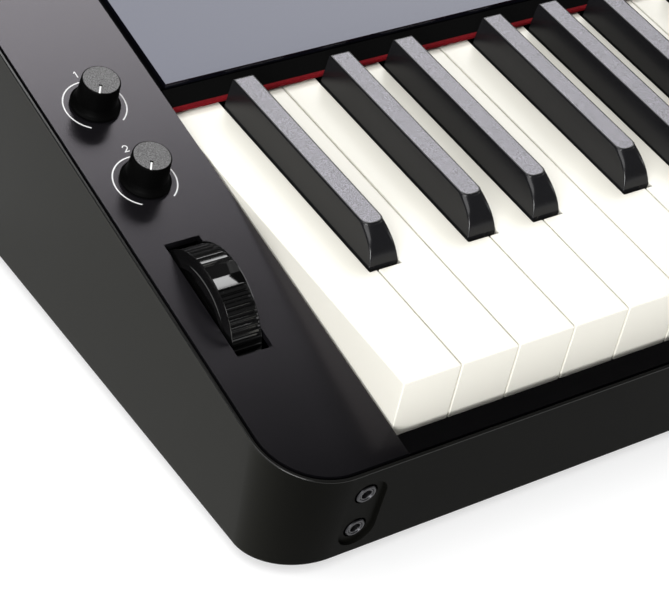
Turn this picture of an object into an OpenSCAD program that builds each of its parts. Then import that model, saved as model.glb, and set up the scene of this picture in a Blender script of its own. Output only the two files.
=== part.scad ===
// Slim 88-key stage synthesizer: case, panel, keybed, wheel, knobs and electronics.
// Frame: +X to the player's right, +Y to the rear, +Z up. Origin: middle of the floor under the feet.

/* [Keys] */
// Width of one white key with its gap
key_pitch = 23.5; // [22.5:0.1:24.5]
// Gap between two keys
key_gap = 1.0; // [0.6:0.1:1.4]
// White key top from its front edge to the felt
white_len = 145.6; // [140:0.1:147]
// Wide front part of a white key, up to the black keys
head_len = 50.2; // [44:0.1:56]
// Height of a white key's front
skirt_h = 24; // [22:0.5:26]
// Height of the key sides
side_h = 20; // [18:0.5:22]
// Wall of the moulded keys
key_wall = 1.8; // [1.2:0.1:2.2]
// Width of a black key at its foot
black_w = 12; // [10:0.1:12.4]
// Width of a black key's top face
black_top_w = 8.8; // [7:0.1:9.6]
// Height of a black key above the white ones
black_h = 11.5; // [9:0.1:12.5]
// Run of a black key's sloped front
black_slope = 8.8; // [6:0.1:12]
// Tilt of the keybed, rear up
key_tilt = 3; // [1:0.1:4]

/* [Keybed] */
// Key pivot behind the key fronts
pivot_y = 196; // [190:0.5:198]
// Key pivot below the key tops
pivot_drop = 10; // [8:0.5:12]
// Radius of the steel pivot shaft
pivot_r = 1.5; // [1.2:0.05:2]
// Thickness of the lugs between the key tails
lug_t = 1.8; // [1.4:0.1:2.2]
// Thickness of the keybed plate
plate_t = 2.5; // [2:0.1:4]

/* [Case] */
// Overall depth
body_d = 232; // [230:1:280]
// Width of each cheek beside the keys
cheek_w = 47.5; // [46:0.1:70]
// Height of the front edge above the floor
front_h = 46; // [44:0.5:56]
// Slope of the top, in degrees
top_slope = 11.9; // [11.5:0.1:14]
// Depth of the rail in front of the keys
slip_d = 12.3; // [11:0.1:16]
// Lean of the front wall from top to bottom
front_lean = 5.3; // [3:0.1:6]
// Radius of the front corners
corner_r = 25; // [16:0.5:30]
// Radius of the rear corners
rear_r = 8; // [6:0.5:14]
// Case wall
wall = 2.6; // [2.2:0.1:3.2]
// Floor of the case
floor_t = 2.5; // [2.2:0.1:3.2]
// Cover thickness
cover_t = 2.5; // [2:0.1:3]
// Lip of the case wall outside the cover
lip = 0.9; // [0.7:0.1:1.2]
// Open seam between lip and cover
seam = 1.1; // [0.6:0.1:1.4]
// Height of the rubber feet
foot_h = 4.5; // [3:0.5:8]

/* [Controls] */
// Radius of the pitch wheel
wheel_r = 25; // [20:0.5:26]
// Width of the pitch wheel
wheel_w = 12.5; // [10:0.5:14]
// Radius of a knob's foot
knob_r = 9; // [7:0.1:10]
// Radius of a knob's top
knob_top_r = 6.9; // [5:0.1:7.5]
// Height of a knob
knob_h = 12; // [10:0.5:16]
// Distance between the two knobs
knob_step = 36; // [26:0.5:40]
// Radius of a 3.5 mm socket's mouth
phones_r = 1.8; // [1.75:0.01:1.9]
// Radius of a 6.35 mm socket's mouth
line_r = 3.2; // [3.15:0.01:3.4]

/* [Hidden] */
$fn = 48;
WHITES = 52;
KEYS = 88;
BLACK_NOTES = [1, 3, 6, 8, 10];
eps = 0.01;

span = WHITES * key_pitch;
body_w = span + 2 * cheek_w;
rear_y = body_d / 2;
front_y = -rear_y;
key_y = front_y + slip_d;
rail_gap = 1.2;
key_rise = 21;
key_z = front_h + key_rise;
floor_z = foot_h + floor_t;
inset = lip + seam;
slope = tan(top_slope);
side_gap = 0.8;                       // keys to cheek
key_left = -span / 2;
inner = span / 2 + side_gap;          // half width of the opening for the keys
rail_end = inner + 2;                 // the rail runs a little way into the cheeks
edge_drop = 0.4;                      // case edge below the cover's surface
hole_gap = 0.1;                       // round a screw
flat_gap = 0.3;                       // round a plate, lid or board let into a hole
behind = 0.3;                         // socket shells to the inside of the rear wall

// Keybed levels, in the keybed's own frame
plate_top = -32;
neck_end = white_len + 4;
tail_end = pivot_y + 10;
tail_top = -3;
tail_bottom = -16;
running = 0.06;
slot_gap = 0.8;                       // white neck to black key
post_gap = 0.3;
post_d = 5;
felt_gap = 0.3;
felt_h = 2.5;
rib_t = 3;                            // presser rib
lug_gap = 0.55;
lug_step = 4;
tail_w = 4 * key_pitch / 7 - lug_t - 2 * lug_gap;
lug_d = 12;
rest_y = pivot_y + 6.4;               // rest felt under the tails
post_top = -14;
white_dip = 9.7;                      // travel at the front stop felts
black_dip = 8.8;
spring_y = pivot_y - 7;
spring_r = 2.2;
spring_wire = 0.6;
dome_y = 107;
dome_top = -25.2;
dome_r = 3.4;
white_post_y = 22;
black_post_y = 80;

// Panel and fallboard
panel_y = key_y + 154;
rear_strip = 13.5;
panel_end = rear_y - rear_strip;
panel_t = 2;
panel_up = 1.5;
panel_gap = 2.4;
under = panel_t - panel_up;           // panel's underside below the sloping top
tray_t = 2;
tray_ledge = 8;
board_t = 1.6;
display_x = [-125, -25];
display_y = [panel_y + 16.5, panel_end - 11.5];
display_d = 4;
felt_y = key_y + white_len - 0.2;
felt_z = key_z + white_len * tan(key_tilt) + 0.8;
felt_t = 1.6;
felt_show = 1.8;

// Controls on the left cheek
cheek_x = key_left - 26.7;
wheel_x = key_left - 27.8;
wheel_y = key_y + 70.7;
wheel_show = 11;                      // wheel above the cheek
wheel_z = top_z(wheel_y) - wheel_r + wheel_show;
axle_r = 3;
wheel_rim = 0.9;
wheel_shoulder = 4.5;                 // how far a rim falls towards the wheel's side
bearing_r = 8;
bracket_t = 2;
slot_w = wheel_w + 1.1;
slot_front = wheel_y - wheel_r - 3.8;
slot_rear = wheel_y + wheel_r - 4.7;
knob2_y = key_y + 118;
knob1_y = knob2_y + knob_step;
knob_lift = 0.4;
scale_open = 67;            // degrees at the front between the two ends of a knob's travel
shaft_r = 3;
bush_r = 3.6;
pot_r = 8;
pot_h = 9;
bush_up = 1.2;                        // pot's bush above the sheet it passes
volume_x = key_left + 262;
power_x = key_left + 226;
control_y = panel_y + 26;
volume_r = 8;
power_r = 4.5;
power_up = 1.2;
stem_r = 1.7;
switch_w = 6;
switch_t = 0.8;

// Sockets
phones_x = key_left - 14.4;
phones_z = floor_z + 17.5;            // middle of the sunk pill
phones_gap = 17;                      // between the two sockets
pill_r = 7;
pill_d = 1.8;                         // how deep the pill is sunk
pad_d = 5.2;                          // outer face of the wall to the back of the pad
pad_w = 24;
barrel_r = 3.7;
barrel_gap = 0.7;
barrel_up = 0.5;                      // barrel above the bottom of the pill
jack_w = 12;
socket_len = 14;
front_angle = atan(front_lean / (front_h - edge_drop - foot_h));
plate_w = 230;
plate_h = 24;
plate_x = -40;
plate_z = floor_z + 3;
plate_gap = 0.2;
rear_plate_t = 1.5;
wall_y = rear_y - wall;               // inside of the rear wall
jack_z = floor_z + 14;
line_barrel = 5;
line_xs = [-132, -108, -84, -60];
dc_x = 58;
dc_r = 2.8;
dc_barrel = 4.5;
dc_pin = 1;
usb_a_x = -6;
usb_a = [6.8, 3.4];                   // half width and half height of a USB shell
usb_b_x = 24;
usb_b = [5.8, 5.4];
usb_t = 0.6;
usb_b_t = 1.4;
socket_gap = 0.2;
jack_stand = 2;
board_z = floor_z + jack_stand;

// Main board on its stands
board_stand = 4;
board_x = [-185, -5];
board_half = 40;
stand_xs = [-165, -95, -25];
stand_y = 25;
jack_stand_xs = [-140, -50, 50];

// Speakers
speaker_x = 430;
speaker_w = 112;
speaker_h = 33;
speaker_z = floor_z + 1.5 + speaker_h / 2;
speaker_d = 24;
speaker_rim = 4;
magnet_r = 13;

// Battery bay under the keybed
bay_x = 300;
bay_y = -35;
bay_l = 156;
bay_w = 34;
bay_h = 17;
bay_wall = 2;
bay_slide = 8;                        // how far the hatch slides to come free
hatch_t = 1.6;
hatch_tongue = 1.5;
bay_z = foot_h + hatch_t + bay_wall;
bay_x0 = bay_x - bay_l / 2;
bay_x1 = bay_x + bay_l / 2;
bay_y0 = bay_y - bay_w / 2;
bay_y1 = bay_y + bay_w / 2;

// Screws, bosses and feet
screw_r = 1.45;
screw_l = 10;
head_r = 2.9;
head_h = 1.4;
boss_r = 3.9;
boss_drop = 8;
seat_t = 4;                           // case under the cover's bosses, above a screw's head
post_end = span / 2 - 51;
post_xs = [-post_end, -400, -200, 0, 200, 400, post_end];
post_ys = [-60, 60];
boss_x = body_w / 2 - 11.5;
cover_boss = [[-boss_x, front_y + 36], [-boss_x, rear_y - 24], [boss_x, front_y + 36],
    [boss_x, front_y + 116], [boss_x, rear_y - 24], [-300, wall_y - 4], [300, wall_y - 4]];
foot_r = 9;
foot_x = body_w / 2 - 68.5;
foot_at = [for (x = [-foot_x, 0, foot_x], y = [front_y + 31, rear_y - 21]) [x, y]];

// Height of the sloping top at a place along Y
function top_z(y) = front_h + (y - front_y) * slope;
// Height at which a cover boss meets the case's boss
function joint_z(y) = top_z(y) - cover_t - boss_drop;

// ---- key layout: key 0 is the lowest A ----
function note(i) = (i + 9) % 12;
function is_black(i) = len(search(note(i), BLACK_NOTES)) > 0;
function octave_x(i) = (floor((i + 9) / 12) * 7 - 5) * key_pitch;
function slot_x(i) = octave_x(i) + (note(i) < 5 ? note(i) * 3 * key_pitch / 5
    : 3 * key_pitch + (note(i) - 5) * 4 * key_pitch / 7);
function slot_w(i) = note(i) < 5 ? 3 * key_pitch / 5 : 4 * key_pitch / 7;
function key_mid(i) = slot_x(i) + slot_w(i) / 2;
function white_x(i) = octave_x(i) + (note(i) < 5 ? note(i) / 2 : (note(i) + 1) / 2) * key_pitch;
function cut_left(i) = i > 0 && is_black(i - 1);
function cut_right(i) = i < KEYS - 1 && is_black(i + 1);

// ---- shared shapes ----
// Outline of the case seen from above, drawn in by d
module plan(d) {
    w = body_w / 2 - d;
    fr = corner_r - d;
    rr = rear_r - d;
    y0 = front_y + d;
    y1 = rear_y - d;
    translate([-w + fr, y0]) square([2 * (w - fr), y1 - y0]);
    translate([-w, y0 + fr]) square([2 * w, y1 - y0 - fr - rr]);
    translate([-w + rr, y1 - rr - eps]) square([2 * (w - rr), rr + eps]);
    for (s = [-1, 1]) {
        translate([s * (w - fr), y0 + fr]) circle(fr, $fn = 96);
        translate([s * (w - rr), y1 - rr]) circle(rr);
    }
}

// Case profile seen from the side, with its top d under the sloping surface and its floor at z
module side_cut(d, z, lean) {
    reach = body_w / 2 + 1;
    lead = lean * (z - foot_h) / (front_h - edge_drop - foot_h);
    translate([-reach, 0, 0]) rotate([90, 0, 90]) linear_extrude(2 * reach)
        polygon([[front_y + lean - lead, z], [rear_y + 1, z], [rear_y + 1, top_z(rear_y + 1) - d],
            [front_y, front_h - d], [front_y, front_h - max(d, 0) - eps]]);
}

// A strip along X between two ends with a side profile in Y and Z
module strip(x0, x1, points) {
    translate([x0, 0, 0]) rotate([90, 0, 90]) linear_extrude(x1 - x0) polygon(points);
}

// A slab lying between two depths under the sloping top
module slab(x0, x1, y0, y1, up, down) {
    strip(x0, x1, [[y0, top_z(y0) + up], [y0, top_z(y0) - down],
        [y1, top_z(y1) - down], [y1, top_z(y1) + up]]);
}

module box(a, b) {
    translate(a) cube(b - a);
}

// Puts children on the sloping top, their Z along its normal
module on_top(x, y, up = 0) {
    translate([x, y, top_z(y)]) rotate([top_slope, 0, 0]) translate([0, 0, up]) children();
}

module along_y(x, y, z) {
    translate([x, y, z]) rotate([-90, 0, 0]) children();
}

module along_x(x, y, z) {
    translate([x, y, z]) rotate([0, 90, 0]) children();
}

// Puts children on the leaning front wall, their Z square to it and pointing in
module into_front(x, z) {
    y = front_y + front_lean * (front_h - edge_drop - z) / (front_h - edge_drop - foot_h);
    translate([x, y, z]) rotate([front_angle - 90, 0, 0]) children();
}

// The same for each of the two phones sockets, one below the other
module phones_places() {
    for (s = [-1, 1]) into_front(phones_x, phones_z) translate([0, s * phones_gap / 2, 0]) children();
}

// Oblong of two circles and the square between them, in XY
module oblong(w, h) {
    square([w - h, h], center = true);
    for (s = [-1, 1]) translate([s * (w - h) / 2, 0]) circle(h / 2);
}

// The keybed's frame: X from the left of the keys, Y from their fronts, Z from their tops
module keybed() {
    translate([key_left, key_y, key_z]) rotate([key_tilt, 0, 0]) children();
}

// ---- case ----
module bottom_case() {
    color([0.16, 0.16, 0.15]) difference() {
        union() {
            case_shell();
            phones_pad();
            for (p = cover_boss) translate([p[0], p[1], floor_z - eps])
                cylinder(r = boss_r, h = joint_z(p[1]) - floor_z + eps);
            box([bay_x0 - bay_wall, bay_y0 - bay_wall, foot_h],
                [bay_x1 + bay_wall + bay_slide, bay_y1 + bay_wall, bay_z + bay_h + bay_wall]);
            for (x = stand_xs, y = [-stand_y, stand_y]) translate([x, y, floor_z - eps])
                cylinder(r = 3, h = board_stand + eps);
            for (x = jack_stand_xs) translate([x, rear_y - 24, floor_z - eps])
                cylinder(r = 2.5, h = jack_stand + eps);
        }
        phones_recess();
        screw_holes();
        battery_room();
        box([plate_x - plate_w / 2, wall_y - 1, plate_z],
            [plate_x + plate_w / 2, rear_y + 1, plate_z + plate_h]);
        for (s = [-1, 1]) along_y(s * speaker_x, wall_y - 1, speaker_z) linear_extrude(wall + 2)
            oblong(speaker_w - 2 * speaker_rim, speaker_h - 2 * speaker_rim);
    }
}

// Floor and walls, with a rebate for the cover and room for the rail
module case_shell() {
    difference() {
        intersection() {
            translate([0, 0, foot_h]) linear_extrude(150) plan(0);
            side_cut(edge_drop, foot_h, front_lean);
        }
        intersection() {
            linear_extrude(200) plan(lip);
            slab(-body_w, body_w, front_y - 2, rear_y + 2, 60, cover_t);
        }
        box([-rail_end - flat_gap, front_y + lip, front_h - cover_t], [rail_end + flat_gap, key_y, 200]);
        intersection() {
            translate([0, 0, floor_z]) linear_extrude(200) plan(wall);
            translate([0, wall, 0]) side_cut(-60, floor_z, front_lean);
        }
    }
}

// Thick pad behind the phones sockets
module phones_pad() {
    intersection() {
        into_front(phones_x, phones_z) translate([-pad_w / 2, -front_h, 1])
            cube([pad_w, 2 * front_h, pad_d - 1]);
        box([phones_x - pad_w, front_y, floor_z - eps], [phones_x + pad_w, rear_y, front_h - cover_t - 1]);
    }
}

// Sunk pill round the phones sockets, and a hole for each barrel
module phones_recess() {
    phones_places() {
        translate([0, 0, -5]) cylinder(r = pill_r, h = 5 + pill_d);
        cylinder(r = barrel_r + barrel_gap, h = pad_d + 1);
    }
    into_front(phones_x, phones_z) translate([-pill_r, -phones_gap / 2, -5])
        cube([2 * pill_r, phones_gap, 5 + pill_d]);
}

// Deep holes under the cover bosses, short ones under the keybed posts
module screw_holes() {
    for (p = cover_boss) translate([p[0], p[1], foot_h - 1]) {
        cylinder(r = head_r + hole_gap, h = joint_z(p[1]) - seat_t - foot_h + 1);
        cylinder(r = screw_r + hole_gap, h = joint_z(p[1]));
    }
    for (x = post_xs, y = post_ys) translate([x, y, foot_h - 1]) {
        cylinder(r = head_r + hole_gap, h = head_h + 1);
        cylinder(r = screw_r + hole_gap, h = screw_l);
    }
}

// Battery bay, its mouth and the grooves of its hatch
module battery_room() {
    box([bay_x0, bay_y0, bay_z], [bay_x1, bay_y1, bay_z + bay_h]);
    box([bay_x0, bay_y0, foot_h - 1], [bay_x1 + bay_slide, bay_y1, bay_z + eps]);
    for (y = [bay_y0, bay_y1]) translate([bay_x0, y - hatch_tongue - plate_gap, foot_h + 0.8])
        cube([bay_l + bay_slide, 2 * (hatch_tongue + plate_gap), 1.2]);
}

module top_cover() {
    color([0.2, 0.2, 0.22]) difference() {
        union() {
            difference() {
                intersection() {
                    linear_extrude(200) plan(inset);
                    slab(-body_w, body_w, front_y - 2, rear_y + 2, 0, cover_t);
                }
                box([-inner, front_y - 1, 0], [inner, panel_end, 200]);
            }
            // level rail in front of the keys
            box([-rail_end, front_y + inset, front_h - cover_t], [rail_end, key_y - rail_gap, front_h]);
            // recessed tray for the touch panel
            slab(-inner - 1, inner + 1, panel_y + 0.4, panel_end + 1, -under, tray_t + under);
            // walls beside the keys
            for (x = [-inner - key_wall, inner]) strip(x, x + key_wall, [[key_y - rail_gap - 1, front_h - 6],
                [panel_y + 2, top_z(panel_y) - 25], [panel_y + 2, top_z(panel_y + 2) - 1],
                [key_y - rail_gap - 1, top_z(key_y - rail_gap - 1) - 1]]);
            for (p = cover_boss) translate([p[0], p[1], joint_z(p[1])])
                cylinder(r = boss_r, h = boss_drop + 1);
        }
        // window of the tray
        slab(-inner + tray_ledge, inner - tray_ledge, panel_y + tray_ledge, panel_end - tray_ledge, 20, 20);
        for (p = cover_boss) translate([p[0], p[1], 0])
            cylinder(r = screw_r, h = joint_z(p[1]) + boss_drop - 1);
        // slot of the wheel
        slab(wheel_x - slot_w / 2, wheel_x + slot_w / 2, slot_front, slot_rear, 20, 20);
        for (y = [knob1_y, knob2_y]) on_top(cheek_x, y, -12) cylinder(r = bush_r, h = 20);
    }
}

module touch_panel() {
    half = inner - panel_gap;
    color([0.05, 0.05, 0.06]) difference() {
        slab(-half, half, panel_y, panel_end - 0.5, panel_up, under);
        on_top(volume_x, control_y, -20) cylinder(r = bush_r, h = 40);
        on_top(power_x, control_y, -20) cylinder(r = power_r + flat_gap, h = 40);
    }
}

module fallboard() {
    half = span / 2;
    back = panel_y;
    low = under + tray_t;
    color([0.04, 0.04, 0.04]) strip(-half, half, [
        [felt_y + felt_show, felt_z + felt_t], [felt_y + 6, felt_z + felt_t],
        [back, top_z(back) - low - 2], [back + tray_ledge - 1, top_z(back + tray_ledge - 1) - low - 2],
        [back + tray_ledge - 1, top_z(back + tray_ledge - 1) - low], [back, top_z(back) - low],
        [back - 0.1, top_z(back) - 0.7], [back - 0.8, top_z(back) - 0.3]]);
}

module key_felt() {
    color([0.5, 0.02, 0.03])
        box([-span / 2, felt_y, felt_z], [span / 2, felt_y + 6, felt_z + felt_t]);
}

// Sense board under the panel, with the power button's switch
module panel_board() {
    y0 = panel_y + tray_ledge + 2;
    y1 = panel_end - tray_ledge - 2;
    color([0.05, 0.3, 0.12]) difference() {
        union() {
            slab(power_x - 15, 120, y0, y1, -under, under + board_t);
            on_top(power_x, control_y, -under - eps) translate([-switch_w / 2, -switch_w / 2, 0])
                cube([switch_w, switch_w, switch_t]);
        }
        slab(display_x[0] - 1, display_x[1] + 1, display_y[0] - 0.5, display_y[1] + 0.5, 5, 5);
        on_top(volume_x, control_y, -20) cylinder(r = bush_r, h = 40);
        on_top(power_x, control_y, -under) cylinder(r = stem_r + 0.25, h = 2);
    }
}

module display_module() {
    color([0.3, 0.36, 0.4])
        slab(display_x[0], display_x[1], display_y[0], display_y[1], -under, under + display_d);
}

// ---- sockets ----
// Two 3.5 mm sockets: a barrel through the pad and a square body behind it
module phones_jacks() {
    front = pill_d - barrel_up;
    rear = front + socket_len + 1.2;
    color([0.12, 0.12, 0.12]) phones_places() difference() {
        union() {
            translate([0, 0, front]) cylinder(r = barrel_r, h = pad_d - front + 1);
            translate([-jack_w / 2, -jack_w / 2, pad_d]) cube([jack_w, jack_w, rear - pad_d]);
        }
        translate([0, 0, front - 1]) cylinder(r = phones_r, h = socket_len + 1);
    }
}

module rear_jack_plate() {
    color([0.1, 0.1, 0.1]) difference() {
        box([plate_x - plate_w / 2 + plate_gap, wall_y, plate_z + plate_gap],
            [plate_x + plate_w / 2 - plate_gap, wall_y + rear_plate_t, plate_z + plate_h - plate_gap]);
        for (x = line_xs) along_y(x, wall_y - 1, jack_z) cylinder(r = line_barrel + hole_gap, h = 5);
        along_y(dc_x, wall_y - 1, jack_z) cylinder(r = dc_barrel + hole_gap, h = 5);
        usb_block(usb_a_x, usb_a, -socket_gap, wall_y - 1, rear_y);
        usb_block(usb_b_x, usb_b, -socket_gap, wall_y - 1, rear_y);
    }
}

// Block of a USB socket's size drawn in by d, between two places along Y
module usb_block(x, half, d, y0, y1) {
    box([x - half[0] + d, y0, jack_z - half[1] + d], [x + half[0] - d, y1, jack_z + half[1] - d]);
}

module line_jacks() {
    face = rear_y - 0.2;
    color([0.14, 0.14, 0.14]) for (x = line_xs) difference() {
        union() {
            box([x - 8, face - 26, board_z + board_t], [x + 8, wall_y - behind, jack_z + 8]);
            along_y(x, wall_y - 1, jack_z) cylinder(r = line_barrel, h = face - wall_y + 1);
        }
        along_y(x, face - 22, jack_z) cylinder(r = line_r, h = 30);
    }
}

// Metal shell of a USB socket with its foot on the board
module usb_port(x, half, t) {
    y0 = wall_y - 12;
    y1 = rear_y - 0.4;
    difference() {
        union() {
            box([x - half[0], y0, board_z + board_t], [x + half[0], wall_y - behind, jack_z + half[1]]);
            usb_block(x, half, 0, y0 + 1, y1);
        }
        usb_block(x, half, t, y0 + 1, y1 + 1);
    }
}

module usb_ports() {
    color([0.7, 0.7, 0.72]) {
        usb_port(usb_a_x, usb_a, usb_t);
        usb_port(usb_b_x, usb_b, usb_b_t);
    }
}

module dc_inlet() {
    y0 = wall_y - 11;
    color([0.08, 0.08, 0.08]) difference() {
        union() {
            box([dc_x - 5, y0, board_z + board_t], [dc_x + 5, wall_y - behind, jack_z + 5]);
            along_y(dc_x, wall_y - 1, jack_z) cylinder(r = dc_barrel, h = wall + 0.6);
        }
        difference() {
            along_y(dc_x, y0 + 2, jack_z) cylinder(r = dc_r, h = 20);
            along_y(dc_x, y0, jack_z) cylinder(r = dc_pin, h = 11);
        }
    }
}

// ---- boards ----
// Main board with two chips, a heat sink and three capacitors
module main_board() {
    z = floor_z + board_stand;
    top = z + board_t;
    color([0.05, 0.3, 0.12]) {
        box([board_x[0], -board_half, z], [board_x[1], board_half, top]);
        box([-150, -15, top], [-125, 10, top + 2]);
        box([-100, -20, top], [-80, 0, top + 2]);
        box([-60, 5, top], [-20, 25, top + 10]);
        for (x = [-170, -158, -146]) translate([x, 28, top]) cylinder(r = 4, h = 9);
    }
}

module jack_board() {
    color([0.05, 0.3, 0.12])
        box([plate_x - 112, rear_y - 36, board_z], [plate_x + 112, wall_y - 0.5, board_z + board_t]);
}

// ---- speakers ----
// One oblong speaker: frame on the rear wall, cone and magnet behind it
module speaker(x) {
    cone_w = speaker_w - 2 * speaker_rim;
    cone_h = speaker_h - 2 * speaker_rim;
    translate([x, wall_y, speaker_z]) rotate([90, 0, 0]) {
        difference() {
            linear_extrude(2) oblong(speaker_w, speaker_h);
            translate([0, 0, -1]) linear_extrude(4) oblong(cone_w - 2, cone_h - 2);
        }
        difference() {
            translate([0, 0, 1]) linear_extrude(9) oblong(cone_w, cone_h);
            translate([0, 0, -1]) linear_extrude(9) oblong(cone_w - 4, cone_h - 4);
        }
        translate([0, 0, 10 - eps]) cylinder(r = magnet_r, h = speaker_d - 10);
    }
}

module speakers() {
    color([0.1, 0.1, 0.1]) for (s = [-1, 1]) speaker(s * speaker_x);
}

module speaker_grilles() {
    w = speaker_w - 2 * (speaker_rim + flat_gap);
    h = speaker_h - 2 * (speaker_rim + flat_gap);
    slit_step = 4.4;
    slit_w = 2.4;
    color([0.06, 0.06, 0.06]) for (s = [-1, 1]) difference() {
        along_y(s * speaker_x, wall_y + 0.3, speaker_z) linear_extrude(wall - 0.6) oblong(w, h);
        for (k = [-10:10]) translate([s * speaker_x + slit_step * k - slit_w / 2, wall_y - 1, speaker_z - 8])
            cube([slit_w, wall + 2, 16]);
    }
}

// ---- feet, screws and hatch ----
module rubber_feet() {
    color([0.05, 0.05, 0.05]) for (p = foot_at) translate([p[0], p[1], 0])
        rotate_extrude() polygon([[0, 0], [foot_r - 1, 0], [foot_r, 1], [foot_r, foot_h], [0, foot_h]]);
}

// Pan-head screw, its head at the bottom
module screw() {
    difference() {
        union() {
            cylinder(r = head_r, h = head_h);
            translate([0, 0, head_h]) cylinder(r = screw_r, h = screw_l);
        }
        for (a = [0, 90]) rotate(a) translate([-1.6, -0.35, -1]) cube([3.2, 0.7, 1.7]);
    }
}

module case_screws() {
    color([0.3, 0.3, 0.3]) {
        for (p = cover_boss) translate([p[0], p[1], joint_z(p[1]) - seat_t - head_h]) screw();
        for (x = post_xs, y = post_ys) translate([x, y, foot_h]) screw();
    }
}

// Sliding hatch with finger grooves and a tongue along each side
module battery_cover() {
    x0 = bay_x0 + flat_gap;
    w = bay_w / 2 - flat_gap;
    color([0.15, 0.15, 0.14]) {
        difference() {
            box([x0, bay_y - w, foot_h], [bay_x1, bay_y + w, foot_h + hatch_t + 0.8]);
            for (k = [0:4]) translate([bay_x1 - 12 - 3 * k, bay_y - 8, foot_h - 1]) cube([1.4, 16, 1.5]);
        }
        for (y = [bay_y - w - hatch_tongue, bay_y + w - eps]) translate([x0 + 4, y, foot_h + 1.1])
            cube([bay_l - flat_gap - 8, hatch_tongue + eps, 0.7]);
    }
}

// Spring plates at both ends of the two rows of cells
module battery_contacts() {
    color([0.75, 0.76, 0.78]) for (e = [-1, 1], r = [-1, 1]) {
        x = bay_x + e * (bay_l / 2 - 0.3);
        y = bay_y + r * bay_w / 4;
        translate([x - 0.3, y - 5, bay_z + 2]) cube([0.6, 10, 13]);
        along_x(x - (e > 0 ? 3.2 : 0), y, bay_z + 8) cylinder(r = e * r > 0 ? 3 : 2, h = 3.2);
    }
}

// ---- keybed ----
module key_chassis() {
    rail_top = tail_bottom - felt_gap - felt_h;
    color([0.85, 0.84, 0.8]) difference() {
        union() {
            keybed() {
                box([2, 4, plate_top - plate_t], [span - 2, tail_end + 1, plate_top]);
                // rear rail under the tails
                box([2, rest_y - 1, plate_top - eps], [span - 2, tail_end + 1, rail_top]);
                // lugs that carry the pivot shaft
                for (i = [0:lug_step:KEYS])
                    translate([slot_x(i) - lug_t / 2, pivot_y - lug_d / 2, plate_top - eps])
                        cube([lug_t, lug_d, -plate_top - 5]);
                for (i = [0:KEYS - 1]) guide_post(i);
            }
            // posts down to the floor
            for (x = post_xs, y = post_ys) translate([x, y, floor_z])
                cylinder(r = 4, h = key_z + (y - key_y) * tan(key_tilt) + plate_top - 1 - floor_z);
        }
        keybed() along_x(-5, pivot_y, -pivot_drop) cylinder(r = pivot_r, h = span + 10);
        for (x = post_xs, y = post_ys) translate([x, y, floor_z - 1]) cylinder(r = screw_r, h = 11);
    }
}

// Post inside a key that keeps it upright
module guide_post(i) {
    half = (is_black(i) ? black_w : key_pitch - key_gap) / 2 - key_wall - post_gap;
    x = is_black(i) ? key_mid(i) : white_x(i) + key_pitch / 2;
    y = is_black(i) ? black_post_y : white_post_y;
    box([x - half, y, plate_top - eps], [x + half, y + post_d, post_top]);
}

module key_pivot_shaft() {
    color([0.72, 0.72, 0.74]) keybed() along_x(slot_x(0) - 3, pivot_y, -pivot_drop)
        cylinder(r = pivot_r, h = slot_x(KEYS) - slot_x(0) + 6);
}

module key_stop_felts() {
    rest = tail_bottom - felt_gap;
    color([0.35, 0.3, 0.28]) keybed() {
        box([2, 6, plate_top], [span - 2, 16, -side_h - white_dip]);
        box([2, 56, plate_top], [span - 2, 66, -side_h - black_dip]);
        box([2, rest_y, rest - felt_h], [span - 2, tail_end, rest]);
    }
}

// One return spring under each key's tail, drawn as a plain tube
module key_springs() {
    color([0.72, 0.72, 0.74]) keybed() for (i = [0:KEYS - 1]) translate([key_mid(i), spring_y, plate_top])
        difference() {
            cylinder(r = spring_r, h = tail_bottom - 0.7 - plate_top);
            translate([0, 0, -1]) cylinder(r = spring_r - spring_wire, h = -plate_top);
        }
}

module contact_board() {
    color([0.05, 0.3, 0.12]) keybed()
        box([4, dome_y - 15, plate_top], [span - 4, dome_y + 15, plate_top + board_t]);
}

module contact_rubber() {
    z = plate_top + board_t;
    color([0.2, 0.2, 0.2]) keybed() {
        box([6, dome_y - 9, z], [span - 6, dome_y + 9, z + 1]);
        for (i = [0:KEYS - 1]) translate([key_mid(i), dome_y, z + 1 - eps])
            cylinder(r = dome_r, h = dome_top - z - 1 + eps);
    }
}

// One white key: wide head, neck between the black keys and a tail on the shaft
module white_key(i) {
    x0 = white_x(i) + key_gap / 2;
    x1 = white_x(i) + key_pitch - key_gap / 2;
    n0 = cut_left(i) ? key_mid(i - 1) + black_w / 2 + slot_gap : x0;
    n1 = cut_right(i) ? key_mid(i + 1) - black_w / 2 - slot_gap : x1;
    step = head_len - slot_gap;
    outline = concat([[x0, 0], [x1, 0]], cut_right(i) ? [[x1, step], [n1, step]] : [],
        [[n1, neck_end], [n0, neck_end]], cut_left(i) ? [[n0, step], [x0, step]] : []);
    difference() {
        union() {
            translate([0, 0, -side_h]) linear_extrude(side_h) polygon(outline);
            box([x0, 0, -skirt_h], [x1, key_wall, -side_h + eps]);
            tail(i);
        }
        box([x0 + key_wall, key_wall, -side_h - 1], [x1 - key_wall, step - key_wall, -2.5]);
        box([n0 + key_wall, key_wall, -side_h - 1], [n1 - key_wall, neck_end - 4, -2.5]);
        tail_bore(i);
    }
    presser(n0 + key_wall - eps, n1 - key_wall + eps);
}

// Rib inside a key that presses its rubber dome
module presser(x0, x1) {
    box([x0, dome_y - rib_t / 2, -side_h], [x1, dome_y + rib_t / 2, -2.4]);
}

module tail(i) {
    x = key_mid(i);
    box([x - tail_w / 2, neck_end - 5, tail_bottom], [x + tail_w / 2, tail_end, tail_top]);
}

module tail_bore(i) {
    along_x(key_mid(i) - key_pitch, pivot_y, -pivot_drop)
        cylinder(r = pivot_r + running, h = 2 * key_pitch);
}

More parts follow.
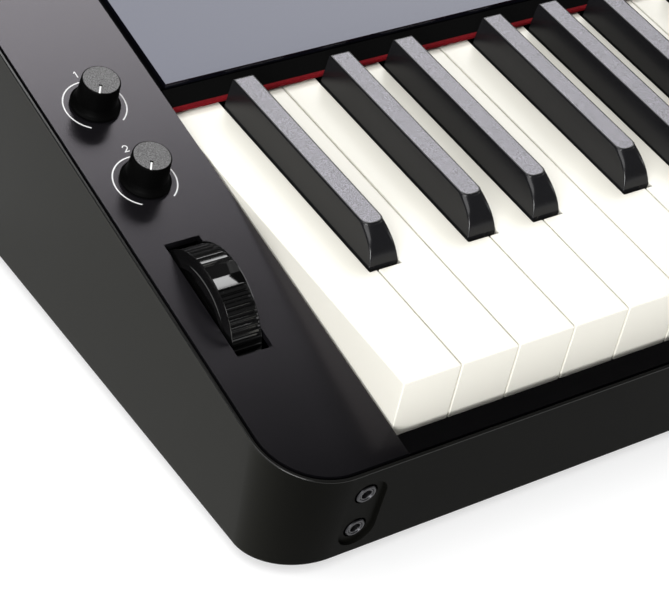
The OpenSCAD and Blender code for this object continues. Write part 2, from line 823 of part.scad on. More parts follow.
// One black key: tapered cap on a straight body
module black_key(i) {
    x = key_mid(i);
    y0 = head_len;
    y1 = white_len - 1;
    difference() {
        union() {
            intersection() {
                strip(x - black_w, x + black_w, [[y0, -side_h], [neck_end, -side_h], [neck_end, tail_top],
                    [y1, tail_top], [y1, black_h], [y0 + black_slope, black_h], [y0, 0]]);
                translate([x, neck_end + 1, 0]) rotate([90, 0, 0]) linear_extrude(neck_end)
                    polygon([[-black_w / 2, -side_h], [black_w / 2, -side_h], [black_w / 2, 0],
                        [black_top_w / 2, black_h], [-black_top_w / 2, black_h], [-black_w / 2, 0]]);
            }
            tail(i);
        }
        box([x - black_w / 2 + key_wall, y0 + key_wall, -side_h - 1],
            [x + black_w / 2 - key_wall, neck_end - 4, tail_top - 2]);
        box([x - black_top_w / 2 + key_wall, y0 + black_slope, tail_top - 2 - eps],
            [x + black_top_w / 2 - key_wall, y1 - 3, black_h - 5]);
        tail_bore(i);
    }
    presser(x - black_w / 2 + key_wall - eps, x + black_w / 2 - key_wall + eps);
}

module one_key(i) {
    if (is_black(i)) color([0.08, 0.08, 0.09]) keybed() black_key(i);
    else color([0.95, 0.94, 0.9]) keybed() white_key(i);
}

// Keys past the singly jointed ones, an octave at a time, counted from 1
module octave_keys(number, black) {
    first = 14 + (number - 1) * 12;
    last = number == 6 ? KEYS - 1 : first + 11;
    for (i = [first:last]) if (is_black(i) == black) one_key(i);
}

// ---- wheel and knobs ----
// Two rims with steep shoulders, a ribbed band between them and a thumb notch in front of the top
module pitch_wheel() {
    rib_h = 0.8;
    rib_step = 6.2;
    half = wheel_w / 2;
    band = half - wheel_rim;
    band_r = wheel_r - rib_h;
    edge = 0.3;
    color([0.05, 0.05, 0.05]) translate([wheel_x, wheel_y, wheel_z]) rotate([0, 90, 0]) {
        difference() {
            union() {
                rotate_extrude($fn = 96) polygon([[0, -half], [wheel_r - wheel_shoulder, -half],
                    [wheel_r, -band - edge], [wheel_r, -band], [band_r, -band], [band_r, band],
                    [wheel_r, band], [wheel_r, band + edge], [wheel_r - wheel_shoulder, half], [0, half]]);
                for (a = [28:rib_step:84], s = [1, -1]) rotate(180 + s * a + (s < 0 ? 18 : 0))
                    translate([band_r - 0.5, -0.7, -band - 0.2]) cube([rib_h + 0.3, 1.4, 2 * band + 0.4]);
            }
            rotate(190) translate([wheel_r + 1.6, 0, 0]) cylinder(r = 5, h = 2 * band - 0.4, center = true);
        }
        cylinder(r = axle_r, h = wheel_w + 8, center = true);
    }
}

module wheel_bracket() {
    far = wheel_w / 2 + 2;
    color([0.6, 0.6, 0.62]) difference() {
        union() {
            for (x = [wheel_x - far - bracket_t, wheel_x + far]) {
                translate([x, wheel_y - bearing_r, floor_z])
                    cube([bracket_t, 2 * bearing_r, wheel_z - floor_z]);
                along_x(x, wheel_y, wheel_z) cylinder(r = bearing_r, h = bracket_t);
            }
            box([wheel_x - far - bracket_t, wheel_y - 14, floor_z],
                [wheel_x + far + bracket_t, wheel_y + 14, floor_z + bracket_t]);
        }
        along_x(wheel_x - 20, wheel_y, wheel_z) cylinder(r = axle_r + running, h = 40);
    }
}

module wheel_pot() {
    x1 = wheel_x - wheel_w / 2 - 4;
    color([0.2, 0.35, 0.25]) difference() {
        box([x1 - 5, wheel_y - 7, wheel_z - 7], [x1, wheel_y + 7, wheel_z + 7]);
        along_x(x1 - 2, wheel_y, wheel_z) cylinder(r = axle_r + running + 0.3, h = 4);
    }
}

// Knob cap with its turning shaft, standing on z = 0, its pointer turned from the front to the left
module knob(foot, top, h, drop, pointer_turn) {
    hollow = bush_r + 1.2;
    difference() {
        rotate_extrude() polygon([[0, 0], [foot, 0], [foot, 1], [foot - 0.8, 2.2], [top + 0.5, h - 3],
            [top, h - 0.4], [top - 0.4, h], [0, h]]);
        translate([0, 0, -1]) cylinder(r = hollow, h = 4);
        cylinder(r = shaft_r, h = h - 3);
        rotate(-pointer_turn) translate([-0.5, -top - 1, h - 0.4]) cube([1, 4.6, 1]);
    }
    translate([0, 0, -drop]) cylinder(r = shaft_r, h = h - 3 + drop);
}

module cheek_knob(y) {
    color([0.06, 0.06, 0.07]) on_top(cheek_x, y, knob_lift)
        knob(knob_r, knob_top_r, knob_h, cover_t + 6, scale_open / 2);
}

module knob_1() {
    cheek_knob(knob1_y);
}

module knob_2() {
    cheek_knob(knob2_y);
}

module volume_knob() {
    color([0.06, 0.06, 0.07]) on_top(volume_x, control_y, panel_up + knob_lift)
        knob(volume_r, volume_r - 0.8, 10, panel_t + board_t + 6, 0);
}

// Three alike potentiometers, each with its bush through the sheet above it
module knob_pots() {
    color([0.55, 0.5, 0.35]) {
        for (y = [knob1_y, knob2_y]) on_top(cheek_x, y, -cover_t) pot(cover_t + bush_up);
        on_top(volume_x, control_y, panel_up - panel_t - board_t) pot(panel_t + board_t + bush_up);
    }
}

module pot(bush) {
    difference() {
        union() {
            translate([0, 0, -pot_h]) cylinder(r = pot_r, h = pot_h);
            translate([0, 0, -eps]) cylinder(r = bush_r - 0.1, h = bush);
        }
        translate([0, 0, -pot_h + 2]) cylinder(r = shaft_r + running, h = pot_h + bush);
    }
}

module power_button() {
    color([0.07, 0.07, 0.08]) on_top(power_x, control_y, panel_up + power_up - 1.4)
        rotate_extrude() polygon([[0, -0.8], [stem_r, -0.8], [stem_r, 0], [power_r, 0], [power_r, 1.1],
            [power_r - 0.3, 1.4], [0, 1.4]]);
}

bottom_case();
top_cover();
touch_panel();
fallboard();
key_felt();
display_module();
panel_board();
phones_jacks();
rear_jack_plate();
line_jacks();
usb_ports();
dc_inlet();
main_board();
jack_board();
speakers();
speaker_grilles();
rubber_feet();
case_screws();
battery_cover();
battery_contacts();
key_chassis();
key_pivot_shaft();
key_stop_felts();
key_springs();
contact_board();
contact_rubber();
knob_1();
knob_2();
knob_pots();
pitch_wheel();
wheel_bracket();
wheel_pot();
power_button();
volume_knob();
one_key(0);  // key_a0
one_key(1);  // key_a_sharp_0
one_key(2);  // key_b0
one_key(3);  // key_c1
one_key(4);  // key_c_sharp_1
one_key(5);  // key_d1
one_key(6);  // key_d_sharp_1
one_key(7);  // key_e1
one_key(8);  // key_f1
one_key(9);  // key_f_sharp_1
one_key(10);  // key_g1
one_key(11);  // key_g_sharp_1
one_key(12);  // key_a1
one_key(13);  // key_a_sharp_1
octave_keys(1, false);  // white_keys_octave_1
octave_keys(2, false);  // white_keys_octave_2
octave_keys(3, false);  // white_keys_octave_3
octave_keys(4, false);  // white_keys_octave_4
octave_keys(5, false);  // white_keys_octave_5
octave_keys(6, false);  // white_keys_octave_6
octave_keys(1, true);  // black_keys_octave_1
octave_keys(2, true);  // black_keys_octave_2
octave_keys(3, true);  // black_keys_octave_3
octave_keys(4, true);  // black_keys_octave_4
octave_keys(5, true);  // black_keys_octave_5
octave_keys(6, true);  // black_keys_octave_6
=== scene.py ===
import math

import bpy
import numpy as np
from mathutils import Matrix, Vector


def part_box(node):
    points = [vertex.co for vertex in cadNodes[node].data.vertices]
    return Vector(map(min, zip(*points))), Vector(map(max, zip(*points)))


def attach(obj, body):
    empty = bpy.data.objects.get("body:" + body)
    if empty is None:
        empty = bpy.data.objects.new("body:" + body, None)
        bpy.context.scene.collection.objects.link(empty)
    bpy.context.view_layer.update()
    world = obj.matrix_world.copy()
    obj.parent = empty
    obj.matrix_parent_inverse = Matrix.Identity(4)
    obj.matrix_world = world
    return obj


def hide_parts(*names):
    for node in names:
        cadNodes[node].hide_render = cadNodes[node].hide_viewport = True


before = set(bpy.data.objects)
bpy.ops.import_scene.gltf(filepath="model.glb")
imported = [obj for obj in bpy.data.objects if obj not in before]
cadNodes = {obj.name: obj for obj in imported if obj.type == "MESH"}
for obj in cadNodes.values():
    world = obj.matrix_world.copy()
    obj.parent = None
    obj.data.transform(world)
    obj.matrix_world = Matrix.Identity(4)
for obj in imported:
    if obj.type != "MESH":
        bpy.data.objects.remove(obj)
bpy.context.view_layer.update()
print("frame loaded:", len(cadNodes), "nodes")

mm = 0.001

# Where things are, read from the frame

caseLow, caseHigh = (np.array(c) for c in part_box("bottom_case"))
keyLow, keyHigh = (np.array(c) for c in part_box("key_a0"))
wheelLow, wheelHigh = (np.array(c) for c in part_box("pitch_wheel"))

case = {
    "slope": math.radians(11.9),   # top of the case
    "frontHeight": 46 * mm,        # where the slope starts
    "lean": 5.3 * mm,              # front wall, bottom behind top
    "frontRadius": 25 * mm,
    "rearRadius": 8 * mm,
    "wall": 2.6 * mm,
    "floor": 2.5 * mm,
    "coverThickness": 2.5 * mm,
    "lip": 1.2 * mm,
    "lipDrop": 0.3 * mm,           # case edge below the cover's surface
    "edge": 0.35 * mm,             # rounding of the lip
    "footEdge": 1.4 * mm,          # rounding along the bottom
}
halfWidth = caseHigh[0]
frontY = caseLow[1]
rearY = caseHigh[1]
footZ = caseLow[2]
floorZ = footZ + case["floor"]
topTan = math.tan(case["slope"])

keybed = {
    "pitch": 23.5 * mm,
    "gap": 0.6 * mm,
    "tilt": math.radians(3),
    "neckEnd": 149.6 * mm,
    "count": 88,
}
keyLeft = -26 * keybed["pitch"]
keyFront = keyLow[1]
keyTop = keyHigh[2] - keybed["neckEnd"] * math.sin(keybed["tilt"])


# Height of the sloping top at y: the front height plus the rise of the slope.
def topZ(y):
    return case["frontHeight"] + (y - frontY) * topTan


topTurn = Matrix.Rotation(case["slope"], 4, "X")


# Matrix that puts z = 0 on the sloping top at x, y, raised along its normal
def onTop(x, y, up=0.0):
    return Matrix.Translation((x, y, topZ(y))) @ topTurn @ Matrix.Translation((0, 0, up))


# Meshes from arrays

# Points times a 4 by 4 matrix, all rows at once
def moved(points, matrix):
    m = np.array(matrix)
    return points @ m[:3, :3].T + m[:3, 3]


# The same for (points, faces, finish number) parts
def placed(parts, matrix):
    return [(moved(p, matrix), f, m) for p, f, m in parts]


# Quads between neighbouring rows and columns of points; columns always close, rows close if asked
def gridFaces(rows, cols, closeRows=False):
    i = np.arange(rows if closeRows else rows - 1)[:, None]
    j = np.arange(cols)[None, :]
    a, b = i * cols, (i + 1) % rows * cols
    k = (j + 1) % cols
    return np.stack([a + j, a + k, b + k, b + j], -1).reshape(-1, 4)


# Rings of equal length joined in order, the first and last filled with one face each
def loft(rings):
    rings = np.asarray(rings, float)
    rows, cols = rings.shape[:2]
    faces = gridFaces(rows, cols).tolist()
    faces += [list(range(cols))[::-1], [(rows - 1) * cols + c for c in range(cols)]]
    return rings.reshape(-1, 3), faces


# Several parts as one: the faces of each are shifted by the number of points before it
def joined(parts):
    points, faces, finish, start = [], [], [], 0
    for p, f, m in parts:
        points.append(p)
        faces += [[v + start for v in face] for face in f]
        finish += m if isinstance(m, list) else [m] * len(f)
        start += len(p)
    return np.concatenate(points), faces, finish


# A mesh object from joined parts, riding on a body and standing for CAD nodes; edges above angle are sharp
def makePiece(name, parts, finishes, body, nodes=(), angle=35):
    points, faces, finish = joined(parts)
    mesh = bpy.data.meshes.new(name)
    mesh.from_pydata(points.tolist(), [], faces)
    mesh.polygons.foreach_set("material_index", np.array(finish, np.int32))
    mesh.polygons.foreach_set("use_smooth", np.ones(len(faces), bool))
    mesh.validate()
    mesh.update()
    mesh.set_sharp_from_angle(angle=math.radians(angle))
    for material in finishes:
        mesh.materials.append(material)
    piece = bpy.data.objects.new(name, mesh)
    bpy.context.scene.collection.objects.link(piece)
    weighted = piece.modifiers.new("normals", "WEIGHTED_NORMAL")
    weighted.keep_sharp = True
    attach(piece, body)
    if nodes:
        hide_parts(*nodes)
    return piece


# Takes closed parts out of a piece, one boolean for all of them, and keeps the result as its mesh
def cutAway(piece, parts):
    points, faces, finish = joined([(p, f, 0) for p, f in parts])
    mesh = bpy.data.meshes.new("cutter")
    mesh.from_pydata(points.tolist(), [], faces)
    mesh.validate()
    mesh.materials.append(piece.data.materials[0])
    cutter = bpy.data.objects.new("cutter", mesh)
    bpy.context.scene.collection.objects.link(cutter)
    cut = piece.modifiers.new("cut", "BOOLEAN")
    cut.operation = "DIFFERENCE"
    cut.solver = "EXACT"
    cut.object = cutter
    piece.modifiers.move(len(piece.modifiers) - 1, 0)
    weighted = piece.modifiers["normals"]
    weighted.show_viewport = False
    bpy.context.view_layer.update()
    cutPiece = piece.evaluated_get(bpy.context.evaluated_depsgraph_get())
    result = bpy.data.meshes.new_from_object(cutPiece)
    piece.modifiers.remove(cut)
    weighted.show_viewport = True
    piece.data = result
    result.set_sharp_from_angle(angle=math.radians(30))
    bpy.data.objects.remove(cutter)


# Circles of (radius, height) pairs about Z: x is radius times cosine, y is radius times sine
def circles(profile, count):
    profile = np.array(profile, float)
    radius, height = profile[:, :1], profile[:, 1:]
    a = np.linspace(0, 2 * math.pi, count, endpoint=False)
    return np.stack([radius * np.cos(a), radius * np.sin(a), np.repeat(height, count, 1)], -1)


# Solid of revolution: the circles of an open profile, filled at both ends
def turned(profile, count, matrix=Matrix()):
    points, faces = loft(circles(profile, count))
    return moved(points, matrix), faces


# Ring of revolution: the profile is a closed loop
def hoop(profile, count, matrix=Matrix()):
    rings = circles(profile, count)
    return moved(rings.reshape(-1, 3), matrix), gridFaces(len(profile), count, True).tolist()


# A plain closed box between two corners
def boxPart(low, high):
    x0, y0, z0 = low
    x1, y1, z1 = high
    ring = np.array([[x0, y0], [x1, y0], [x1, y1], [x0, y1]])
    return loft([np.c_[ring, np.full(4, z0)], np.c_[ring, np.full(4, z1)]])


# Cosine and sine over a quarter turn
def arcSteps(count):
    t = np.linspace(0, math.pi / 2, count)
    return np.cos(t), np.sin(t)


# Finishes

patchScale = 22.0                  # slow patches of moulded plastic
grainScale = {"case": 5200.0, "cover": 6500.0, "felt": 1600.0}


# A material, its tree and shader, and the piece's own coordinates
def newMaterial(name):
    material = bpy.data.materials.new(name)
    material.use_nodes = True
    tree = material.node_tree
    shader = tree.nodes["Principled BSDF"]
    coords = tree.nodes.new("ShaderNodeTexCoord")
    return material, tree, shader, coords.outputs["Object"]


# Noise of 0 to 1 at a scale per metre
def noise(tree, vector, scale, detail=3.0, roughness=0.5):
    node = tree.nodes.new("ShaderNodeTexNoise")
    node.inputs["Scale"].default_value = scale
    node.inputs["Detail"].default_value = detail
    node.inputs["Roughness"].default_value = roughness
    tree.links.new(vector, node.inputs["Vector"])
    return node.outputs["Fac"]


# Colour that runs from low to high while the value runs from margin to 1 - margin
def ramp(tree, value, low, high, margin=0.3):
    node = tree.nodes.new("ShaderNodeValToRGB")
    first, last = node.color_ramp.elements
    first.position, last.position = margin, 1 - margin
    first.color = (*low, 1)
    last.color = (*high, 1)
    tree.links.new(value, node.inputs["Fac"])
    return node.outputs["Color"]


# Maps 0 to 1 onto low to high
def spread(tree, value, low, high):
    node = tree.nodes.new("ShaderNodeMapRange")
    node.inputs["To Min"].default_value = low
    node.inputs["To Max"].default_value = high
    tree.links.new(value, node.inputs["Value"])
    return node.outputs["Result"]


# Normals tilted by the slope of a height
def bump(tree, shader, height, strength, distance):
    node = tree.nodes.new("ShaderNodeBump")
    node.inputs["Strength"].default_value = strength
    node.inputs["Distance"].default_value = distance
    tree.links.new(height, node.inputs["Height"])
    tree.links.new(node.outputs["Normal"], shader.inputs["Normal"])


# Colour times a factor, no part above 1
def shade(colour, factor):
    return tuple(min(1.0, c * factor) for c in colour)


# Moulded surface: fine grain in the normal, slow patches in roughness and a little in colour
def mouldedPlastic(name, colour, roughness, grain, depth, variation=0.12, specular=0.5, tint=(1, 1, 1)):
    material, tree, shader, coords = newMaterial(name)
    slow = noise(tree, coords, patchScale, 4.0)
    tone = ramp(tree, slow, shade(colour, 1 - variation), shade(colour, 1 + variation))
    tree.links.new(tone, shader.inputs["Base Color"])
    tree.links.new(spread(tree, slow, roughness * 0.88, roughness * 1.12), shader.inputs["Roughness"])
    shader.inputs["Specular IOR Level"].default_value = specular
    shader.inputs["Specular Tint"].default_value = (*tint, 1)
    if depth > 0:
        bump(tree, shader, noise(tree, coords, grain, 2.0, 0.6), 0.35, depth)
    return material


# Smooth step from 0 to 1 between two distances behind the front edge, for the painted shade, and the place
# across
def frontFade(tree, place, low, high):
    split = tree.nodes.new("ShaderNodeSeparateXYZ")
    tree.links.new(place, split.inputs["Vector"])
    shadeFade = tree.nodes.new("ShaderNodeMapRange")
    shadeFade.interpolation_type = "SMOOTHSTEP"
    shadeFade.inputs["From Min"].default_value = frontY + low
    shadeFade.inputs["From Max"].default_value = frontY + high
    tree.links.new(split.outputs["Y"], shadeFade.inputs["Value"])
    return shadeFade.outputs["Result"], split.outputs["X"]


# Painted shade colour at factor 0; at factor 1 a colour that runs from low to high with the slow noise
def paintedShadeTone(tree, factor, dark, slow, low, high):
    tone = tree.nodes.new("ShaderNodeMix")
    tone.data_type = "RGBA"
    tone.inputs["A"].default_value = (*dark, 1)
    tree.links.new(ramp(tree, slow, low, high), tone.inputs["B"])
    tree.links.new(factor, tone.inputs["Factor"])
    return tone.outputs["Result"]


# One Math node between sockets or numbers
def maths(tree, operation, first, second=0.0):
    node = tree.nodes.new("ShaderNodeMath")
    node.operation = operation
    for socket, value in zip(node.inputs, (first, second)):
        if isinstance(value, float):
            socket.default_value = value
        else:
            tree.links.new(value, socket)
    return node.outputs[0]


# Case: fine-grained and matt, with painted shade on its front wall: darker in colour and specular level than
# its sides
def casePlastic(name):
    material, tree, shader, coords = newMaterial(name)
    shadeFade, _ = frontFade(tree, coords, 3 * mm, 32 * mm)
    slow = noise(tree, coords, patchScale, 4.0)
    # painted shade: a darker colour and a lower specular level on the front wall
    tone = paintedShadeTone(tree, shadeFade, (0.0035, 0.0035, 0.003),
                     slow, (0.0074, 0.0074, 0.0054), (0.0088, 0.0088, 0.0066))
    tree.links.new(tone, shader.inputs["Base Color"])
    tree.links.new(spread(tree, shadeFade, 0.012, 0.075), shader.inputs["Specular IOR Level"])
    tree.links.new(spread(tree, slow, 0.32, 0.40), shader.inputs["Roughness"])
    bump(tree, shader, noise(tree, coords, grainScale["case"], 2.0, 0.6), 0.35, 0.015 * mm)
    return material


# Cover: semi-gloss and faintly violet on the cheeks, with painted shade towards their front and on the rail
# and tray
# between them: a darker colour and a lower specular level there
def coverPlastic(name):
    material, tree, shader, coords = newMaterial(name)
    shadeFade, across = frontFade(tree, coords, -55 * mm, 95 * mm)
    onCheek = maths(tree, "GREATER_THAN", maths(tree, "ABSOLUTE", across), -keyLeft + 0.5 * mm)
    unshadedCheek = maths(tree, "MULTIPLY", onCheek, shadeFade)
    slow = noise(tree, coords, patchScale, 4.0)
    # painted shade: dark colour and low specular level at the cheeks' front and on the rail and tray between
    # them
    tone = paintedShadeTone(tree, unshadedCheek, (0.0010, 0.0010, 0.0013),
                     slow, (0.0050, 0.0047, 0.0056), (0.0064, 0.0060, 0.0070))
    tree.links.new(tone, shader.inputs["Base Color"])
    tree.links.new(spread(tree, unshadedCheek, 0.012, 0.47), shader.inputs["Specular IOR Level"])
    tree.links.new(spread(tree, slow, 0.225, 0.25), shader.inputs["Roughness"])
    shader.inputs["Specular Tint"].default_value = (0.97, 0.90, 1.0, 1)
    bump(tree, shader, noise(tree, coords, grainScale["cover"], 2.0, 0.6), 0.3, 0.008 * mm)
    return material


# Grained face whose raised grain is smoother than the hollows and painted lighter: a painted sheen of light
# on the grain
def sheenSpeckledTop(name, dark, light, roughness, grain, depth):
    material, tree, shader, coords = newMaterial(name)
    fine = noise(tree, coords, grain, 3.0, 0.7)
    # painted sheen: the raised grain's colour is lighter than the black plastic
    tree.links.new(ramp(tree, fine, dark, light, 0.36), shader.inputs["Base Color"])
    tree.links.new(spread(tree, fine, roughness * 1.15, roughness * 0.85), shader.inputs["Roughness"])
    bump(tree, shader, fine, 0.6, depth)
    return material


# Felt: tangled fibres in colour and normal
def feltCloth(name, dark, light):
    material, tree, shader, coords = newMaterial(name)
    fibres = noise(tree, coords, grainScale["felt"], 5.0, 0.75)
    tree.links.new(ramp(tree, fibres, dark, light), shader.inputs["Base Color"])
    shader.inputs["Roughness"].default_value = 0.95
    shader.inputs["Specular IOR Level"].default_value = 0.15
    bump(tree, shader, fibres, 0.8, 0.4 * mm)
    return material


# Turned or plated metal with faint streaks along X
def machinedMetal(name, colour, roughness):
    material, tree, shader, coords = newMaterial(name)
    streaks = tree.nodes.new("ShaderNodeMapping")
    streaks.inputs["Scale"].default_value = (1, 40, 40)
    tree.links.new(coords, streaks.inputs["Vector"])
    fine = noise(tree, streaks.outputs["Vector"], 60.0, 3.0)
    tree.links.new(ramp(tree, fine, shade(colour, 0.85), colour), shader.inputs["Base Color"])
    tree.links.new(spread(tree, fine, roughness * 0.8, roughness * 1.3), shader.inputs["Roughness"])
    shader.inputs["Metallic"].default_value = 1.0
    return material


# Solder mask with copper tracks showing through as lighter lines
def circuitGreen(name):
    material, tree, shader, coords = newMaterial(name)
    tracks = tree.nodes.new("ShaderNodeTexBrick")
    tracks.inputs["Scale"].default_value = 160.0
    tracks.inputs["Mortar Size"].default_value = 0.06
    tracks.inputs["Color1"].default_value = (0.012, 0.10, 0.035, 1)
    tracks.inputs["Color2"].default_value = (0.015, 0.12, 0.045, 1)
    tracks.inputs["Mortar"].default_value = (0.03, 0.2, 0.08, 1)
    tree.links.new(coords, tracks.inputs["Vector"])
    tree.links.new(tracks.outputs["Color"], shader.inputs["Base Color"])
    shader.inputs["Roughness"].default_value = 0.32
    bump(tree, shader, tracks.outputs["Fac"], 0.2, 0.05 * mm)
    return material


finish = {
    "case": casePlastic("casePlastic"),
    "caseLip": mouldedPlastic("caseLipPlastic", (0.004, 0.004, 0.0035), 0.2, grainScale["case"], 0.004 * mm,
                              specular=0.35),
    "cover": coverPlastic("coverPlastic"),
    "panel": mouldedPlastic("panelGloss", (0.003, 0.003, 0.005), 0.05, 800.0, 0.0, 0.05,
                            tint=(0.78, 0.81, 1.0)),
    "fallboard": mouldedPlastic("fallboardGloss", (0.002, 0.002, 0.002), 0.10, 900.0, 0.0, 0.05, 0.2),
    "felt": feltCloth("redFelt", (0.07, 0.001, 0.003), (0.20, 0.002, 0.006)),
    "whiteKey": mouldedPlastic("whiteKeyPlastic", (0.82, 0.80, 0.72), 0.30, 3000.0, 0.006 * mm, 0.012, 0.3),
    "blackKey": mouldedPlastic("blackKeyPlastic", (0.007, 0.007, 0.008), 0.22, 3000.0, 0.006 * mm,
                               specular=0.33),
    # black keys' grained tops: the lighter colour is painted sheen on the raised grain
    "blackTop": sheenSpeckledTop("blackKeyGrainAndSheen", (0.03, 0.029, 0.035), (0.28, 0.267, 0.315), 0.34, 2500.0,
                            0.04 * mm),
    "knob": mouldedPlastic("knobPlastic", (0.0012, 0.0012, 0.0012), 0.45, 4000.0, 0.02 * mm, specular=0.02),
    # knob tops: the lighter colour is painted sheen on the raised grain
    "knobTop": sheenSpeckledTop("knobGrainAndSheen", (0.01, 0.01, 0.01), (0.15, 0.147, 0.15), 0.45, 2600.0, 0.06 * mm),
    "print": mouldedPlastic("whitePrint", (0.75, 0.75, 0.75), 0.5, 3000.0, 0.0, 0.02),
    "wheel": mouldedPlastic("wheelPlastic", (0.002, 0.002, 0.002), 0.13, 2500.0, 0.0, 0.05, 0.7),
    "socket": mouldedPlastic("socketPlastic", (0.012, 0.012, 0.012), 0.3, 4000.0, 0.01 * mm),
    "rubber": mouldedPlastic("footRubber", (0.016, 0.016, 0.016), 0.8, 2400.0, 0.06 * mm),
    "chassis": mouldedPlastic("chassisPlastic", (0.04, 0.04, 0.04), 0.5, 1500.0, 0.03 * mm),
    "stopFelt": feltCloth("stopFelt", (0.12, 0.10, 0.09), (0.26, 0.23, 0.21)),
    "contactRubber": mouldedPlastic("contactRubber", (0.06, 0.06, 0.06), 0.7, 1500.0, 0.03 * mm),
    "pot": mouldedPlastic("potLaminate", (0.22, 0.16, 0.07), 0.45, 1500.0, 0.03 * mm),
    "steel": machinedMetal("brightSteel", (0.62, 0.62, 0.64), 0.3),
    "plated": machinedMetal("platedMetal", (0.70, 0.70, 0.72), 0.18),
    "darkMetal": machinedMetal("darkMetal", (0.05, 0.05, 0.054), 0.3),
    "collar": machinedMetal("collarMetal", (0.085, 0.085, 0.09), 0.35),
    "screw": machinedMetal("blackScrew", (0.05, 0.05, 0.05), 0.4),
    "board": circuitGreen("circuitGreen"),
    "display": mouldedPlastic("displayGlass", (0.03, 0.045, 0.05), 0.08, 800.0, 0.0, 0.05),
    "speaker": mouldedPlastic("speakerPaper", (0.03, 0.03, 0.03), 0.75, 1800.0, 0.1 * mm),
}

# CAD nodes kept as they are, and their finishes
keptNodes = {
    "top_cover": "cover", "touch_panel": "panel", "fallboard": "fallboard", "display_module": "display",
    "panel_board": "board", "rear_jack_plate": "case", "line_jacks": "socket", "usb_ports": "plated",
    "dc_inlet": "socket", "main_board": "board", "jack_board": "board", "speakers": "speaker",
    "speaker_grilles": "case", "case_screws": "screw", "battery_cover": "case",
    "battery_contacts": "plated", "key_chassis": "chassis", "key_pivot_shaft": "steel",
    "key_stop_felts": "stopFelt", "key_springs": "steel", "contact_board": "board",
    "contact_rubber": "contactRubber", "knob_pots": "pot", "wheel_bracket": "steel", "wheel_pot": "pot",
    "power_button": "knob",
}
for nodeName, finishName in keptNodes.items():
    slots = cadNodes[nodeName].data.materials
    for s in range(len(slots)):
        slots[s] = finish[finishName]
print("finishes made:", len(finish))

# Lower case

# Outline of the case from above: arcs of the corner radius less the inset, round four fixed centres
def planRing(inset):
    front, rear = case["frontRadius"], case["rearRadius"]
    w = halfWidth
    corners = [(-w + front, frontY + front, front, 180), (w - front, frontY + front, front, 270),
               (w - rear, rearY - rear, rear, 0), (-w + rear, rearY - rear, rear, 90)]
    quarter = np.radians(np.linspace(0, 90, 25))
    arcs = []
    for x, y, radius, start in corners:
        t = quarter + math.radians(start)
        arcs.append(np.stack([x + (radius - inset) * np.cos(t), y + (radius - inset) * np.sin(t)], -1))
    return np.concatenate(arcs)


# Outer face of the leaning front wall at a height: y grows evenly from the lip down to the foot
def wallY(z):
    top = case["frontHeight"] - case["lipDrop"]
    return frontY + case["lean"] * np.clip((top - z) / (top - footZ), 0, 1)


# One ring of the case: the outline at a height that may follow y, its front part shifted with the wall
def caseRing(inset, height):
    xy = planRing(inset)
    z = height(xy[:, 1]) if callable(height) else np.full(len(xy), height)
    towardsFront = np.clip((frontY + case["frontRadius"] - xy[:, 1]) / case["frontRadius"], 0, 1)
    return np.stack([xy[:, 0], xy[:, 1] + (wallY(z) - frontY) * towardsFront, z], -1)


phones = {
    "x": keyLeft - 14.4 * mm,
    "z": floorZ + 17.5 * mm,
    "gap": 17 * mm,                # between the two sockets
    "radius": 7 * mm,              # of the sunk oblong
    "sunk": 1.4 * mm,
    "pad": 5.2 * mm,               # outer face of the wall to the back of the pad
    "hole": 4.4 * mm,
}
speakers = {
    "halfLength": 52 * mm,
    "clearance": 0.3 * mm,
}
screws = {
    "postXs": (-560, -400, -200, 0, 200, 400, 560),
    "postYs": (-60, 60),
    "bosses": ((-647, -80), (-647, 92), (647, -80), (647, 0), (647, 92), (-300, 109.4), (300, 109.4)),
    "head": 3.0 * mm,
    "headDepth": 1.4 * mm,
    "hole": 1.55 * mm,
    "sleeve": 3.9 * mm,
    "seat": 4 * mm,
    "bossDrop": 8 * mm,            # joint of case and cover below the cover's underside
}
lean = math.atan(case["lean"] / (case["frontHeight"] - case["lipDrop"] - footZ))


# Matrix at the front wall below the phones centre: Z into the wall, Y down along it
def intoFront(down=0.0):
    place = Matrix.Translation((phones["x"], wallY(phones["z"]), phones["z"]))
    return place @ Matrix.Rotation(lean - math.pi / 2, 4, "X") @ Matrix.Translation((0, down, 0))


# Oblong prism: at each depth two half circles of a radius, their centres a gap apart
def oblong(radii, gap, depths):
    t = np.linspace(0, math.pi, 24)
    rings = []
    for r, z in zip(radii, depths):
        x = np.concatenate([r * np.cos(t), -r * np.cos(t)])
        y = np.concatenate([r * np.sin(t) + gap / 2, -r * np.sin(t) - gap / 2])
        rings.append(np.stack([x, y, np.full(len(x), z)], -1))
    return loft(rings)


# Shell of rings: foot edge, wall, lip, ledge for the cover, inner wall; the two ends close the floor
def caseShell():
    c, s = arcSteps(6)
    rings = [caseRing(case["footEdge"] * (1 - q), footZ + case["footEdge"] * (1 - p)) for p, q in zip(c, s)]
    lipStart = len(rings)
    e, drop = case["edge"], case["lipDrop"]
    rings += [caseRing(e * (1 - p), lambda y, q=q: topZ(y) - drop - e + e * q) for p, q in zip(c, s)]
    lipEnd = len(rings)
    rings += [caseRing(case["lip"] - 0.2 * mm, lambda y: topZ(y) - drop),
              caseRing(case["lip"], lambda y: topZ(y) - drop - 0.2 * mm),
              caseRing(case["lip"], lambda y: topZ(y) - case["coverThickness"]),
              caseRing(case["wall"], lambda y: topZ(y) - case["coverThickness"] - 0.05 * mm),
              caseRing(case["wall"], floorZ)]
    points, faces = loft(rings)
    marks = np.zeros(len(rings) - 1, int)
    marks[lipStart:lipEnd] = 1     # the lip's own finish
    return points, faces, np.repeat(marks, len(rings[0])).tolist() + [0, 0]


